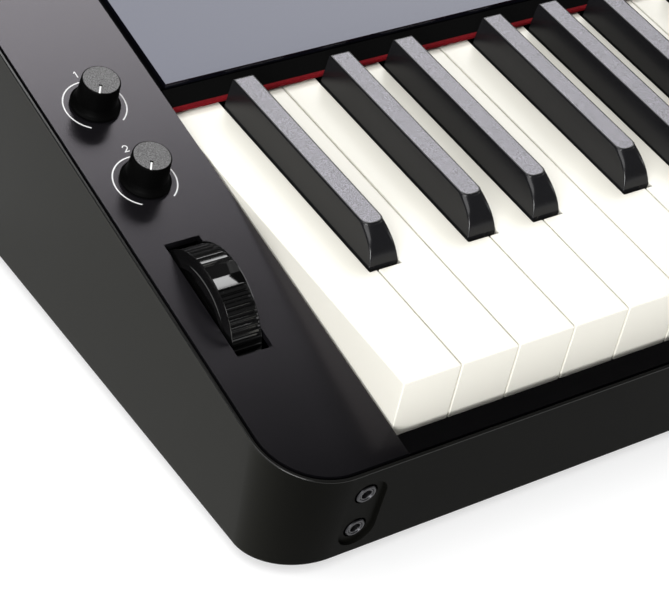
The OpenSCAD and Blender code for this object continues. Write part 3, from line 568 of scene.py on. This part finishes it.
# Pad behind the phones sockets, the sunk oblong in front of them, and their two holes
def phonesSeat():
    p = phones
    pad = boxPart((-12 * mm, -19 * mm, case["wall"] + 0.05 * mm), (12 * mm, 17 * mm, p["pad"]))
    sunk = oblong([p["radius"] + 0.3 * mm, p["radius"], p["radius"]], p["gap"],
                  [-0.3 * mm, 0.3 * mm, p["sunk"]])
    bore = [(p["hole"], p["sunk"] - 0.5 * mm), (p["hole"], p["pad"] + 1 * mm)]
    holes = [turned(bore, 48, intoFront(side * p["gap"] / 2)) for side in (-1, 1)]
    return (moved(pad[0], intoFront()), pad[1], 0), (moved(sunk[0], intoFront()), sunk[1]), holes


# Screw holes through the floor, and a sleeve inside the case over each deep one
def screwHoles():
    s = screws
    head, hole = s["head"], s["hole"]
    sleeves, cuts = [], []
    below, under, seat = footZ - mm, floorZ + 0.05 * mm, head + 0.02 * mm
    for x in s["postXs"]:
        for y in s["postYs"]:
            profile = [(head, below), (head, footZ + s["headDepth"]), (hole, footZ + s["headDepth"]),
                       (hole, floorZ + mm)]
            cuts.append(turned(profile, 32, Matrix.Translation((x * mm, y * mm, 0))))
    for x, y in s["bosses"]:
        top = topZ(y * mm) - case["coverThickness"] - s["bossDrop"]
        place = Matrix.Translation((x * mm, y * mm, 0))
        cuts.append(turned([(head, below), (head, floorZ + mm)], 32, place))
        sleeve = [(seat, under), (s["sleeve"], under), (s["sleeve"], top), (hole, top),
                  (hole, top - s["seat"]), (seat, top - s["seat"])]
        sleeves.append(hoop(sleeve, 32, place) + (0,))
    return sleeves, cuts


# Openings for the rear sockets, the two oblong speaker mouths and the battery hatch
def rearOpenings():
    gap = 0.2 * mm
    low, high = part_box("rear_jack_plate")
    cuts = [boxPart((low[0] - gap, low[1] - 2 * mm, low[2] - gap),
                    (high[0] + gap, rearY + 3 * mm, high[2] + gap))]
    low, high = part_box("speaker_grilles")
    gap = speakers["clearance"]
    t = np.linspace(0, math.pi, 20)
    r = (high[2] - low[2]) / 2 + gap
    reach = speakers["halfLength"] - r
    for side in (-1, 1):
        centre = side * (high[0] + gap - speakers["halfLength"])
        x = centre + np.concatenate([reach + r * np.sin(t), -reach - r * np.sin(t)])
        z = (high[2] + low[2]) / 2 + np.concatenate([-r * np.cos(t), r * np.cos(t)])
        cuts.append(loft([np.c_[x, np.full(len(x), y), z] for y in (rearY + 3 * mm, rearY - 4 * mm)]))
    low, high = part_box("battery_cover")
    gap = 0.3 * mm
    cuts.append(boxPart((low[0] - gap, low[1] - gap, footZ - 2 * mm),
                        (high[0] + 8 * mm, high[1] + gap, floorZ + 2 * mm)))
    return cuts


def lowerCase():
    pad, sunk, holes = phonesSeat()
    sleeves, screwCuts = screwHoles()
    piece = makePiece("lowerCase", [caseShell(), pad] + sleeves, [finish["case"], finish["caseLip"]],
                      "case", ["bottom_case"], 30)
    cutAway(piece, [sunk] + screwCuts + rearOpenings())
    cutAway(piece, holes)          # they overlap the sunk oblong, so they are a second cut


lowerCase()
print("lower case made")

# Keys

# Note of key i within its octave: 0 is C
def note(i):
    return (i + 9) % 12


def isBlack(i):
    return 0 <= i < keybed["count"] and note(i) in (1, 3, 6, 8, 10)


# Left edge of the octave of key i, from the left edge of the lowest key
def octaveX(i):
    return ((i + 9) // 12 * 7 - 5) * keybed["pitch"]


# Middle of key i's tail: the first five notes of an octave share three white widths, the other seven four
def keyMiddle(i):
    n = note(i)
    if n < 5:
        return octaveX(i) + (n + 0.5) * 3 * keybed["pitch"] / 5
    return octaveX(i) + 3 * keybed["pitch"] + (n - 4.5) * 4 * keybed["pitch"] / 7


# Left edge of white key i
def whiteX(i):
    n = note(i)
    return octaveX(i) + (n / 2 if n < 5 else (n + 1) / 2) * keybed["pitch"]


# From the keybed's own frame, at the left, front and top of the lowest key, to the instrument's: a tilt
def onKeybed(points):
    c, s = math.cos(keybed["tilt"]), math.sin(keybed["tilt"])
    x, y, z = points[:, 0], points[:, 1], points[:, 2]
    return np.stack([keyLeft + x, keyFront + y * c - z * s, keyTop + y * s + z * c], -1)


white = {
    "head": 49.5 * mm,             # front to the notches
    "side": 20 * mm,               # height of the sides
    "skirt": 24 * mm,              # height of the front wall
    "frontWall": 2.2 * mm,         # where the sides start, behind the front
    "step": 0.2 * mm,              # from the front wall's foot up to the sides' foot
    "wall": 1.8 * mm,
    "ceiling": 2.5 * mm,           # under the playing face
    "edge": 0.4 * mm,              # rounding round the top
    "corner": 0.4 * mm,            # rounding in plan
    "besideBlack": 6.6 * mm,       # middle of a black key to the white neck
}


# A square-cornered outline drawn in by inset, each corner an arc: the corner moves along both its sides,
# inwards where the bend is +1 and outwards where it is -1
def outlineRing(corners, bends, inset, radius):
    corners = np.array(corners, float)
    bends = np.array(bends, float)[:, None, None]
    back = np.roll(corners, 1, 0) - corners
    ahead = np.roll(corners, -1, 0) - corners
    back /= np.linalg.norm(back, axis=1, keepdims=True)
    ahead /= np.linalg.norm(ahead, axis=1, keepdims=True)
    r = np.maximum(radius - bends * inset, 0.15 * mm)
    c, s = arcSteps(5)
    both = (back + ahead)[:, None, :]
    ring = corners[:, None, :] + (bends * inset + r) * both \
        - r * (c[None, :, None] * ahead[:, None, :] + s[None, :, None] * back[:, None, :])
    return ring.reshape(-1, 2)


tail = {
    "half": 5.25 * mm,
    "front": 145 * mm,
    "rear": 206 * mm,
    "bottom": -16 * mm,
    "top": -3 * mm,
    "edge": 0.3 * mm,
}


# Block about the middle of key i: rounded rectangles of one half width, drawn in and raised level by level
def keyBlock(i, half, front, rear, levels):
    x = keyMiddle(i)
    corners = [(x - half, front), (x + half, front), (x + half, rear), (x - half, rear)]
    outlines = [(outlineRing(corners, [1] * 4, inset, 0.5 * mm), z) for inset, z in levels]
    points, faces = loft([np.c_[xy, np.full(len(xy), z)] for xy, z in outlines])
    return onKeybed(points), faces, 0


# Tail behind the visible key, round the pivot shaft, its upper and lower edges bevelled
def tailPart(i):
    e, low, high = tail["edge"], tail["bottom"], tail["top"]
    return keyBlock(i, tail["half"], tail["front"], tail["rear"],
                    [(e, low), (0, low + e), (0, high - e), (e, high)])


# Outline with its notches, carried from the pocket's ceiling down inside, over the rim and up to the top edge
def whiteKey(i):
    x0 = whiteX(i) + keybed["gap"] / 2
    x1 = x0 + keybed["pitch"] - keybed["gap"]
    cutLeft, cutRight = isBlack(i - 1), isBlack(i + 1)
    n0 = keyMiddle(i - 1) + white["besideBlack"] if cutLeft else x0
    n1 = keyMiddle(i + 1) - white["besideBlack"] if cutRight else x1
    h, end = white["head"], keybed["neckEnd"]
    corners = [(x0, 0), (x1, 0)]
    bends = [1, 1]
    if cutRight:
        corners += [(x1, h), (n1, h)]
        bends += [1, -1]
    corners += [(n1, end), (n0, end)]
    bends += [1, 1]
    if cutLeft:
        corners += [(n0, h), (x0, h)]
        bends += [-1, 1]

    def ring(inset, z, low=False):
        xy = outlineRing(corners, bends, inset, white["corner"])
        # two points more on either side, so that only the front wall reaches down to the skirt
        behind = white["frontWall"] + np.array([0, white["step"]])
        rightSide = np.c_[np.full(2, xy[9, 0]), behind]
        leftSide = np.c_[np.full(2, xy[0, 0]), behind[::-1]]
        xy = np.concatenate([xy[:10], rightSide, xy[10:], leftSide])
        zs = np.full(len(xy), z)
        if low:
            zs[xy[:, 1] < white["frontWall"] + white["step"] / 2] = -white["skirt"]
        return np.c_[xy, zs]

    e = white["edge"]
    c, s = arcSteps(5)
    rings = [ring(white["wall"], -white["ceiling"]), ring(white["wall"], -white["side"], True),
             ring(0, -white["side"], True)]
    rings += [ring(e * (1 - p), -e + e * q) for p, q in zip(c, s)]
    points, faces = loft(rings)
    return onKeybed(points), faces, 0


black = {
    "front": 50.8 * mm,            # of the foot, behind the white keys' front
    "rear": 144.6 * mm,
    "foot": 6.0 * mm,              # half width at the foot
    "top": 4.4 * mm,               # half width at the top
    "height": 11.5 * mm,
    "side": 20 * mm,
    "slope": 8.4 * mm,             # how far the front runs back
    "edge": 0.55 * mm,             # rounding round the top
    "footRadius": 0.45 * mm,       # rounding of the foot's front corners
    "tipRadius": 3.4 * mm,         # rounding of the top's front corners
    "wall": 1.8 * mm,
    "pocket": -4 * mm,             # ceiling of the hollow under the cap
    "tuck": 0.35 * mm,             # from the glossy edge to the grained face
    "bodyFront": 143 * mm,
    "bodyTop": -3 * mm,
}


# Rounded rectangle about x = 0 at a height: quarter circles at its four corners, r in front and rearR behind
def capRing(half, y0, y1, z, r, rearR=0.4 * mm):
    turn = np.linspace(0, math.pi / 2, 7)
    c, s = np.cos(turn), np.sin(turn)
    x, y = half - r, y0 + r
    farX, farY = half - rearR, y1 - rearR
    xy = np.concatenate([np.stack([-x - r * c, y - r * s], -1), np.stack([x + r * s, y - r * c], -1),
                         np.stack([farX + rearR * c, farY + rearR * s], -1),
                         np.stack([-farX - rearR * s, farY + rearR * c], -1)])
    return np.c_[xy, np.full(len(xy), z)]


# Rounded rectangle carried upwards: it narrows evenly, its front runs back faster and faster, and its front
# corners open up
def blackKey(i):
    foot, front, rear, w = black["foot"], black["front"], black["rear"], black["wall"]
    top, e, tip = black["height"], black["edge"], black["tipRadius"]
    rise = np.linspace(0, 1, 16)
    halves = foot + (black["top"] - foot) * rise
    fronts = front + black["slope"] * (0.42 * rise + 0.58 * rise ** 3)
    radii = black["footRadius"] + (tip - black["footRadius"]) * rise ** 2.6
    rings = [capRing(foot - w, front + w, rear - w, z, 0.3 * mm, 0.3 * mm)
             for z in (black["pocket"], -black["side"])]
    rings.append(capRing(foot, front, rear, -black["side"], 0.7 * mm))
    rings += [capRing(half, y, rear, z, r) for half, y, z, r in zip(halves, fronts, rise * (top - e), radii)]
    # the edge runs further in at the front than at the sides
    c, s = arcSteps(4)
    for p, q in zip(e * (1 - c[1:]), e * s[1:]):
        rings.append(capRing(black["top"] - p, fronts[-1] + 1.4 * p, rear - p, top - e + q, tip - p))
    inner = e + black["tuck"]
    rings.append(capRing(black["top"] - inner, fronts[-1] + 1.4 * e + black["tuck"], rear - inner,
                         top - 0.02 * mm, tip - inner))
    points, faces = loft(rings)
    finishNumbers = [0] * (len(faces) - 1) + [1]
    return onKeybed(points + (keyMiddle(i), 0, 0)), faces, finishNumbers


# Straight block from the cap's rear to the tail
def blackBody(i):
    return keyBlock(i, black["foot"], black["bodyFront"], keybed["neckEnd"],
                    [(0, -black["side"]), (0, black["bodyTop"])])


# One piece for a CAD node's keys, all white or all black
def keyPiece(name, numbers):
    parts = []
    for i in numbers:
        if isBlack(i):
            parts += [blackKey(i), blackBody(i), tailPart(i)]
        else:
            parts += [whiteKey(i), tailPart(i)]
    if isBlack(numbers[0]):
        return makePiece(name.replace("key", "blackKey", 1) if name.startswith("key_") else name + "_caps",
                         parts, [finish["blackKey"], finish["blackTop"]], name, [name])
    return makePiece(name.replace("key", "whiteKey", 1) if name.startswith("key_") else name + "_tops",
                     parts, [finish["whiteKey"]], name, [name])


singleKeys = ["key_a0", "key_a_sharp_0", "key_b0", "key_c1", "key_c_sharp_1", "key_d1", "key_d_sharp_1",
              "key_e1", "key_f1", "key_f_sharp_1", "key_g1", "key_g_sharp_1", "key_a1", "key_a_sharp_1"]
for i, name in enumerate(singleKeys):
    keyPiece(name, [i])
for octave in range(1, 7):
    first = 14 + (octave - 1) * 12
    last = keybed["count"] if octave == 6 else first + 12
    for colour in ("white", "black"):
        numbers = [i for i in range(first, last) if isBlack(i) == (colour == "black")]
        keyPiece(f"{colour}_keys_octave_{octave}", numbers)
print("keys made")

# Knobs

knob = {
    "foot": 9.0 * mm,
    "top": 6.9 * mm,
    "height": 12.0 * mm,
    "lift": 0.4 * mm,              # above the cover
    "drop": 8.5 * mm,              # length of the shaft below the foot
    "arcRadius": 11.25 * mm,
    "arcWidth": 0.48 * mm,
    "arcGap": 67,                  # degrees left open at the front
    "pointer": 33.5,               # degrees from the front to the left
    "print": (-0.05 * mm, 0.06 * mm),   # printed lines, from below to above the cover's face
}
shaftRadius = 3.0 * mm
hollowRadius = 4.8 * mm


# Turned profile: shaft, hollow, flared foot, tapering body, rounded edge and top. Then the pointer: a white
# tick in the top's outer half and a black notch at its inner end, turned from the front to the left
def knobParts(foot, top, height, drop, pointer):
    body = top + 0.45 * mm
    profile = [(0.6 * mm, -drop), (shaftRadius, -drop), (shaftRadius, 3 * mm), (hollowRadius, 3 * mm),
               (hollowRadius, 0), (foot - 0.2 * mm, 0), (foot, 0.2 * mm), (foot, 0.9 * mm)]
    profile += [(foot + (body - foot) * f ** 0.45, (0.9 + 2.6 * f) * mm) for f in np.linspace(0, 1, 7)[1:]]
    c, s = arcSteps(5)
    edge = 0.5 * mm
    profile += [(top - edge * (1 - p), height - edge + edge * q) for p, q in zip(c, s)]
    side, sideFaces = turned(profile, 96)
    sideMarks = [0] * (len(sideFaces) - 1) + [1]     # the last face is the top
    r, low = top - edge, height - 0.3 * mm
    tick = boxPart((-0.3 * mm, -r - 0.15 * mm, low), (0.3 * mm, -r * 0.5, height + 0.06 * mm))
    notch = boxPart((-0.6 * mm, -r * 0.5, low), (0.6 * mm, -r * 0.5 + 0.8 * mm, height + 0.07 * mm))
    turn = Matrix.Rotation(-math.radians(pointer), 4, "Z")
    return [(side, sideFaces, sideMarks)] + placed([tick + (2,), notch + (0,)], turn)


knobFinishes = [finish["knob"], finish["knobTop"], finish["print"]]


knobPlaces = {"knob_1": 154.0 * mm, "knob_2": 118.0 * mm}   # behind the keys' front
knobX = sum(c[0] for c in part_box("knob_1")) / 2
for node, along in knobPlaces.items():
    parts = knobParts(knob["foot"], knob["top"], knob["height"], knob["drop"], knob["pointer"])
    makePiece(node + "_cap", placed(parts, onTop(knobX, keyFront + along, knob["lift"])),
              knobFinishes, node, [node])


# Thin raised line along a path in the plane: a rectangle across the path, turned with its direction
def stripLine(path, width):
    path = np.array(path, float)
    along = np.gradient(path, axis=0)
    along /= np.linalg.norm(along, axis=1, keepdims=True)
    across = np.stack([along[:, 1], -along[:, 0]], -1) * width / 2
    low, high = (np.full(len(path), z) for z in knob["print"])
    corners = [np.c_[path + side * across, z] for side, z in ((1, low), (-1, low), (-1, high), (1, high))]
    return loft(np.stack(corners, 1))


digits = {
    "height": 2.9 * mm,
    "stroke": 0.36 * mm,
    "aside": 0.5 * mm,             # right of the knob's middle
    "behind": 13.6 * mm,           # knob's middle to the digit's foot
}


# The digits 1 and 2 in units of their height: straight strokes, and for the 2 an arc of 205 degrees on top
def digitPaths(number):
    if number == 1:
        return [[(0, 0), (0, 0.5), (0, 1)], [(-0.24, 0.76), (-0.1, 0.88), (0, 1)]]
    a = np.radians(np.linspace(165, -40, 14))
    bowl = np.stack([0.3 * np.cos(a), 0.7 + 0.3 * np.sin(a)], -1)
    return [np.concatenate([bowl, [(-0.3, 0.03)]]), [(-0.34, 0.06), (0, 0.06), (0.34, 0.06)]]


for number, (node, along) in enumerate(knobPlaces.items(), 1):
    a = np.radians(np.linspace(270 - knob["arcGap"] / 2, -90 + knob["arcGap"] / 2, 90))
    prints = [stripLine(knob["arcRadius"] * np.stack([np.cos(a), np.sin(a)], -1), knob["arcWidth"]) + (0,)]
    for path in digitPaths(number):
        path = np.array(path) * digits["height"] + np.array([digits["aside"], digits["behind"]])
        prints.append(stripLine(path, digits["stroke"]) + (0,))
    makePiece(f"knobScale_{number}", placed(prints, onTop(knobX, keyFront + along)),
              [finish["print"]], "case")
print("knobs made")

# Pitch wheel

wheel = {
    "radius": 25.0 * mm,
    "half": 6.25 * mm,
    "rim": 0.9 * mm,               # width of a rim
    "axle": 3 * mm,
    "axleEnd": 4 * mm,             # beyond the wheel's side
    "shoulder": 4.5 * mm,          # how far a rim falls towards the side
    "sunk": 0.6 * mm,              # ribbed band below the rims
    "ribDepth": 0.8 * mm,
    "ribStep": 6.2,                # degrees
    "notch": 2.95 * mm,            # thumb notch at its deepest
    "steps": 1160,
}
wheelCentre = (wheelLow + wheelHigh) / 2


# Smooth step from 0 at low to 1 at high
def ease(x, low, high):
    t = np.clip((x - low) / (high - low), 0, 1)
    return t * t * (3 - 2 * t)


# How far the band lies below its rim, for degrees forward of the top: ribs front and rear, the thumb notch,
# and a slit in the flat bar before it
def bandDepth(angle):
    ribs = np.abs(((angle - 34.25) / wheel["ribStep"]) % 1 - 0.5) * 2     # 1 on a rib, 0 in a groove
    groove = (1 - ease(ribs, 0.25, 0.7)) * wheel["ribDepth"]
    ribbed = ((angle > 31.1) & (angle < 96)) | ((angle < -3) & (angle > -84))
    scoop = wheel["notch"] - 0.115 * mm * np.sqrt((angle - 12.2) ** 2 + 2.2)
    notch = scoop * ease(angle, -0.6, 1.2) * (1 - ease(angle, 24.5, 26.3))
    slit = 0.7 * mm * ease(angle, 27.0, 27.6) * (1 - ease(angle, 28.4, 29.0))
    return np.where(ribbed, groove, 0) + notch + slit


# Section across the wheel carried round it; the band's radius also follows the angle. Forward is towards -Y
def wheelPart():
    a = np.linspace(-180, 180, wheel["steps"], endpoint=False)
    r, h, rim, sunk, fall = wheel["radius"], wheel["half"], wheel["rim"], wheel["sunk"], wheel["shoulder"]
    end, axle, web = -h - wheel["axleEnd"], wheel["axle"], -h + 0.8 * mm
    section = [(end, 0.5 * mm, 0), (end, axle, 0), (-h, axle, 0), (-h, 6 * mm, 0), (web, 7 * mm, 0),
               (web, r - fall - 3 * mm, 0), (-h, r - fall - 1.6 * mm, 0)]
    # rounded edge from the flat side to the shoulder, then the shoulder, bulging a little, up to the rim
    section += [(-h + 0.22 * mm * q * q, r - fall - 0.5 * mm + 0.8 * mm * q, 0) for q in np.linspace(0, 1, 5)]
    for q in np.linspace(0.2, 1, 7):
        section.append((-h + 0.15 * mm + (rim - 0.45 * mm) * q ** 1.5, r - fall + (fall - 0.12 * mm) * q, 0))
    section += [(-h + rim - 0.2 * mm, r, 0), (-h + rim - 0.08 * mm, r - 0.05 * mm, 0),
                (-h + rim, r - sunk, 1), (-h + rim + 0.3 * mm, r - sunk, 1)]
    section += [(-x, y, band) for x, y, band in section[::-1]]
    section = np.array(section)[:, None]
    x = section[..., 0] + np.zeros((1, len(a)))
    radius = section[..., 1] - section[..., 2] * bandDepth(a)
    t = np.radians(a)
    points, faces = loft(np.stack([x, -radius * np.sin(t), radius * np.cos(t)], -1)[:, ::-1])
    return points + wheelCentre, faces, 0


makePiece("pitchWheel", [wheelPart()], [finish["wheel"]], "pitch_wheel", ["pitch_wheel"], 28)
print("pitch wheel made")

# Phones sockets

socket = {
    "ring": 3.7 * mm,
    "front": 0.9 * mm,             # behind the wall's outer face
    "mouth": 2.5 * mm,
    "collar": 2.45 * mm,
    "bore": 1.8 * mm,
    "half": 6 * mm,                # of the square body
    "length": 15.2 * mm,
}


# Dark barrel with a chamfered mouth, a plated collar round the bore, and the square body behind the pad
def phonesSocket(side):
    m = intoFront(side * phones["gap"] / 2)
    r, z, mouth, outer, bore = (socket[k] for k in ("ring", "front", "mouth", "collar", "bore"))
    barrel = [(r - 0.3 * mm, z), (2.75 * mm, z), (mouth, z + 0.3 * mm), (mouth, z + 3 * mm),
              (r, phones["pad"] + 0.3 * mm), (r, z + 0.3 * mm)]
    collar = [(outer, z + 0.2 * mm), (2.3 * mm, z + 0.1 * mm), (2.0 * mm, z + 0.15 * mm),
              (bore, z + 0.5 * mm), (bore, z + 13 * mm), (outer, z + 13 * mm)]
    h = socket["half"]
    body = boxPart((-h, -h, phones["pad"] + 0.1 * mm), (h, h, z + socket["length"]))
    return [hoop(barrel, 64, m) + (0,), hoop(collar, 64, m) + (1,), (moved(body[0], m), body[1], 2)]


makePiece("phonesSockets", phonesSocket(-1) + phonesSocket(1),
          [finish["darkMetal"], finish["collar"], finish["socket"]], "case", ["phones_jacks"])
print("phones sockets made")

# Key felt

felt = {"steps": 700, "fuzz": 0.05 * mm}
feltLow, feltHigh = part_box("key_felt")


# Strip along X with a half-round front, swelling and shrinking a little with the fibres, and a flat rear
def feltStrip():
    (x0, y0, z0), (x1, y1, z1) = feltLow, feltHigh
    along = np.linspace(x0, x1, felt["steps"])
    r = (z1 - z0) / 2
    t = np.linspace(-math.pi / 2, math.pi / 2, 7)
    rng = np.random.default_rng(4)
    fuzz = rng.normal(0, felt["fuzz"], (len(along), len(t)))
    fuzz[:, 0] = fuzz[:, -1] = 0
    front = np.stack([np.broadcast_to(along[:, None], fuzz.shape),
                      y0 + r - (r + fuzz) * np.cos(t), (z0 + z1) / 2 + (r + fuzz * 0.5) * np.sin(t)], -1)
    flat = np.ones_like(along)
    rear = np.stack([np.stack([along, flat * y1, flat * z], -1) for z in (z1, z0)], 1)
    rings = np.concatenate([front, rear], 1)
    return loft(rings[::-1]) + (0,)


makePiece("redFeltStrip", [feltStrip()], [finish["felt"]], "case", ["key_felt"], 60)

# Feet

foot = {"radius": 9 * mm, "dish": 5.5 * mm, "dishDepth": 0.5 * mm}
footLow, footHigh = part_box("rubber_feet")
footXs = (footLow[0] + foot["radius"], 0, footHigh[0] - foot["radius"])
footYs = (footLow[1] + foot["radius"], footHigh[1] - foot["radius"])
footProfile = [(0.5 * mm, foot["dishDepth"]), (foot["dish"], foot["dishDepth"]), (6.0 * mm, 0), (7.8 * mm, 0),
               (8.6 * mm, 0.35 * mm), (foot["radius"], 1.2 * mm), (8.8 * mm, footHigh[2] - 0.4 * mm),
               (foot["radius"], footHigh[2])]
feet = [turned(footProfile, 64, Matrix.Translation((x, y, 0))) + (0,) for x in footXs for y in footYs]
makePiece("rubberFeet", feet, [finish["rubber"]], "case", ["rubber_feet"])

# Volume knob

volume = {
    "foot": 8 * mm,
    "top": 7.2 * mm,
    "height": 10 * mm,
    "drop": 9 * mm,
    "along": 180 * mm,             # behind the keys' front
    "lift": 1.9 * mm,              # above the cover's face
}
volumeX = sum(c[0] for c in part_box("volume_knob")) / 2
volumeParts = knobParts(volume["foot"], volume["top"], volume["height"], volume["drop"], 0)
makePiece("volumeKnob", placed(volumeParts, onTop(volumeX, keyFront + volume["along"], volume["lift"])),
          knobFinishes, "volume_knob", ["volume_knob"])
print("small pieces made")

# Floor, light and camera

# Grey square that casts and takes shadow, and glows white where the camera, a gloss or a glass looks at it
def studioFloor():
    mesh = bpy.data.meshes.new("floor")
    half = 6.0
    corners = [(-half, -half, 0), (half, -half, 0), (half, half, 0), (-half, half, 0)]
    mesh.from_pydata(corners, [], [(0, 1, 2, 3)])
    floor = bpy.data.objects.new("floor", mesh)
    bpy.context.scene.collection.objects.link(floor)
    material = bpy.data.materials.new("paleFloor")
    material.use_nodes = True
    tree = material.node_tree
    shader = tree.nodes["Principled BSDF"]
    shader.inputs["Base Color"].default_value = (0.55, 0.55, 0.55, 1)
    shader.inputs["Roughness"].default_value = 0.9
    shader.inputs["Specular IOR Level"].default_value = 0.0
    path = tree.nodes.new("ShaderNodeLightPath")
    seen = maths(tree, "MAXIMUM", path.outputs["Is Camera Ray"], path.outputs["Is Glossy Ray"])
    seen = maths(tree, "MAXIMUM", seen, path.outputs["Is Transmission Ray"])
    shader.inputs["Emission Color"].default_value = (1, 1, 1, 1)
    tree.links.new(maths(tree, "MULTIPLY", seen, 0.5), shader.inputs["Emission Strength"])
    mesh.materials.append(material)


# Square lamp at a place, facing a target
def softbox(name, place, target, size, power):
    light = bpy.data.lights.new(name, "AREA")
    light.shape = "RECTANGLE"
    light.size, light.size_y = size
    light.energy = power
    lamp = bpy.data.objects.new(name, light)
    bpy.context.scene.collection.objects.link(lamp)
    lamp.location = place
    lamp.rotation_euler = (Vector(target) - Vector(place)).to_track_quat("-Z", "Y").to_euler()


view = {
    "place": (-1.00862, -0.53160, 0.55801),
    "right": (0.82335, -0.54897, 0.14395),
    "up": (0.25501, 0.58447, 0.77030),
    "forward": (0.50701, 0.59752, -0.62122),
    "lens": 129.76,                # on a 36 mm wide sensor
}


# Camera at its place, its axes given as right, up and forward
def camera():
    data = bpy.data.cameras.new("camera")
    data.lens = view["lens"]
    data.sensor_width = 36
    data.sensor_fit = "HORIZONTAL"
    data.clip_start = 0.01
    data.clip_end = 50
    shot = bpy.data.objects.new("camera", data)
    bpy.context.scene.collection.objects.link(shot)
    turn = Matrix((view["right"], view["up"], tuple(-c for c in view["forward"]))).transposed().to_4x4()
    shot.matrix_world = Matrix.Translation(view["place"]) @ turn
    bpy.context.scene.camera = shot


studioFloor()
# name, place, target, width and height in metres, watts
softbox("rearSoftbox", (1.05, 1.85, 2.2), (1.05, 1.85, 0), (2.3, 1.5), 65)
softbox("topSoftbox", (-1.9, -0.6, 2.4), (-1.9, -0.6, 0), (2.4, 2.4), 66)
softbox("frontSoftbox", (-2.75, -2.1, 0.9), (-0.5, 0.0, 0.06), (1.8, 1.2), 102)
softbox("sideSoftbox", (3.0, -1.2, 1.2), (0.5, 0.0, 0.05), (1.4, 1.0), 14)

world = bpy.data.worlds.new("studio")
bpy.context.scene.world = world
world.use_nodes = True
sky = world.node_tree.nodes["Background"]
sky.inputs["Color"].default_value = (1, 1, 1, 1)
sky.inputs["Strength"].default_value = 0.1
camera()
bpy.context.scene.view_settings.view_transform = "Standard"
print("stage set")
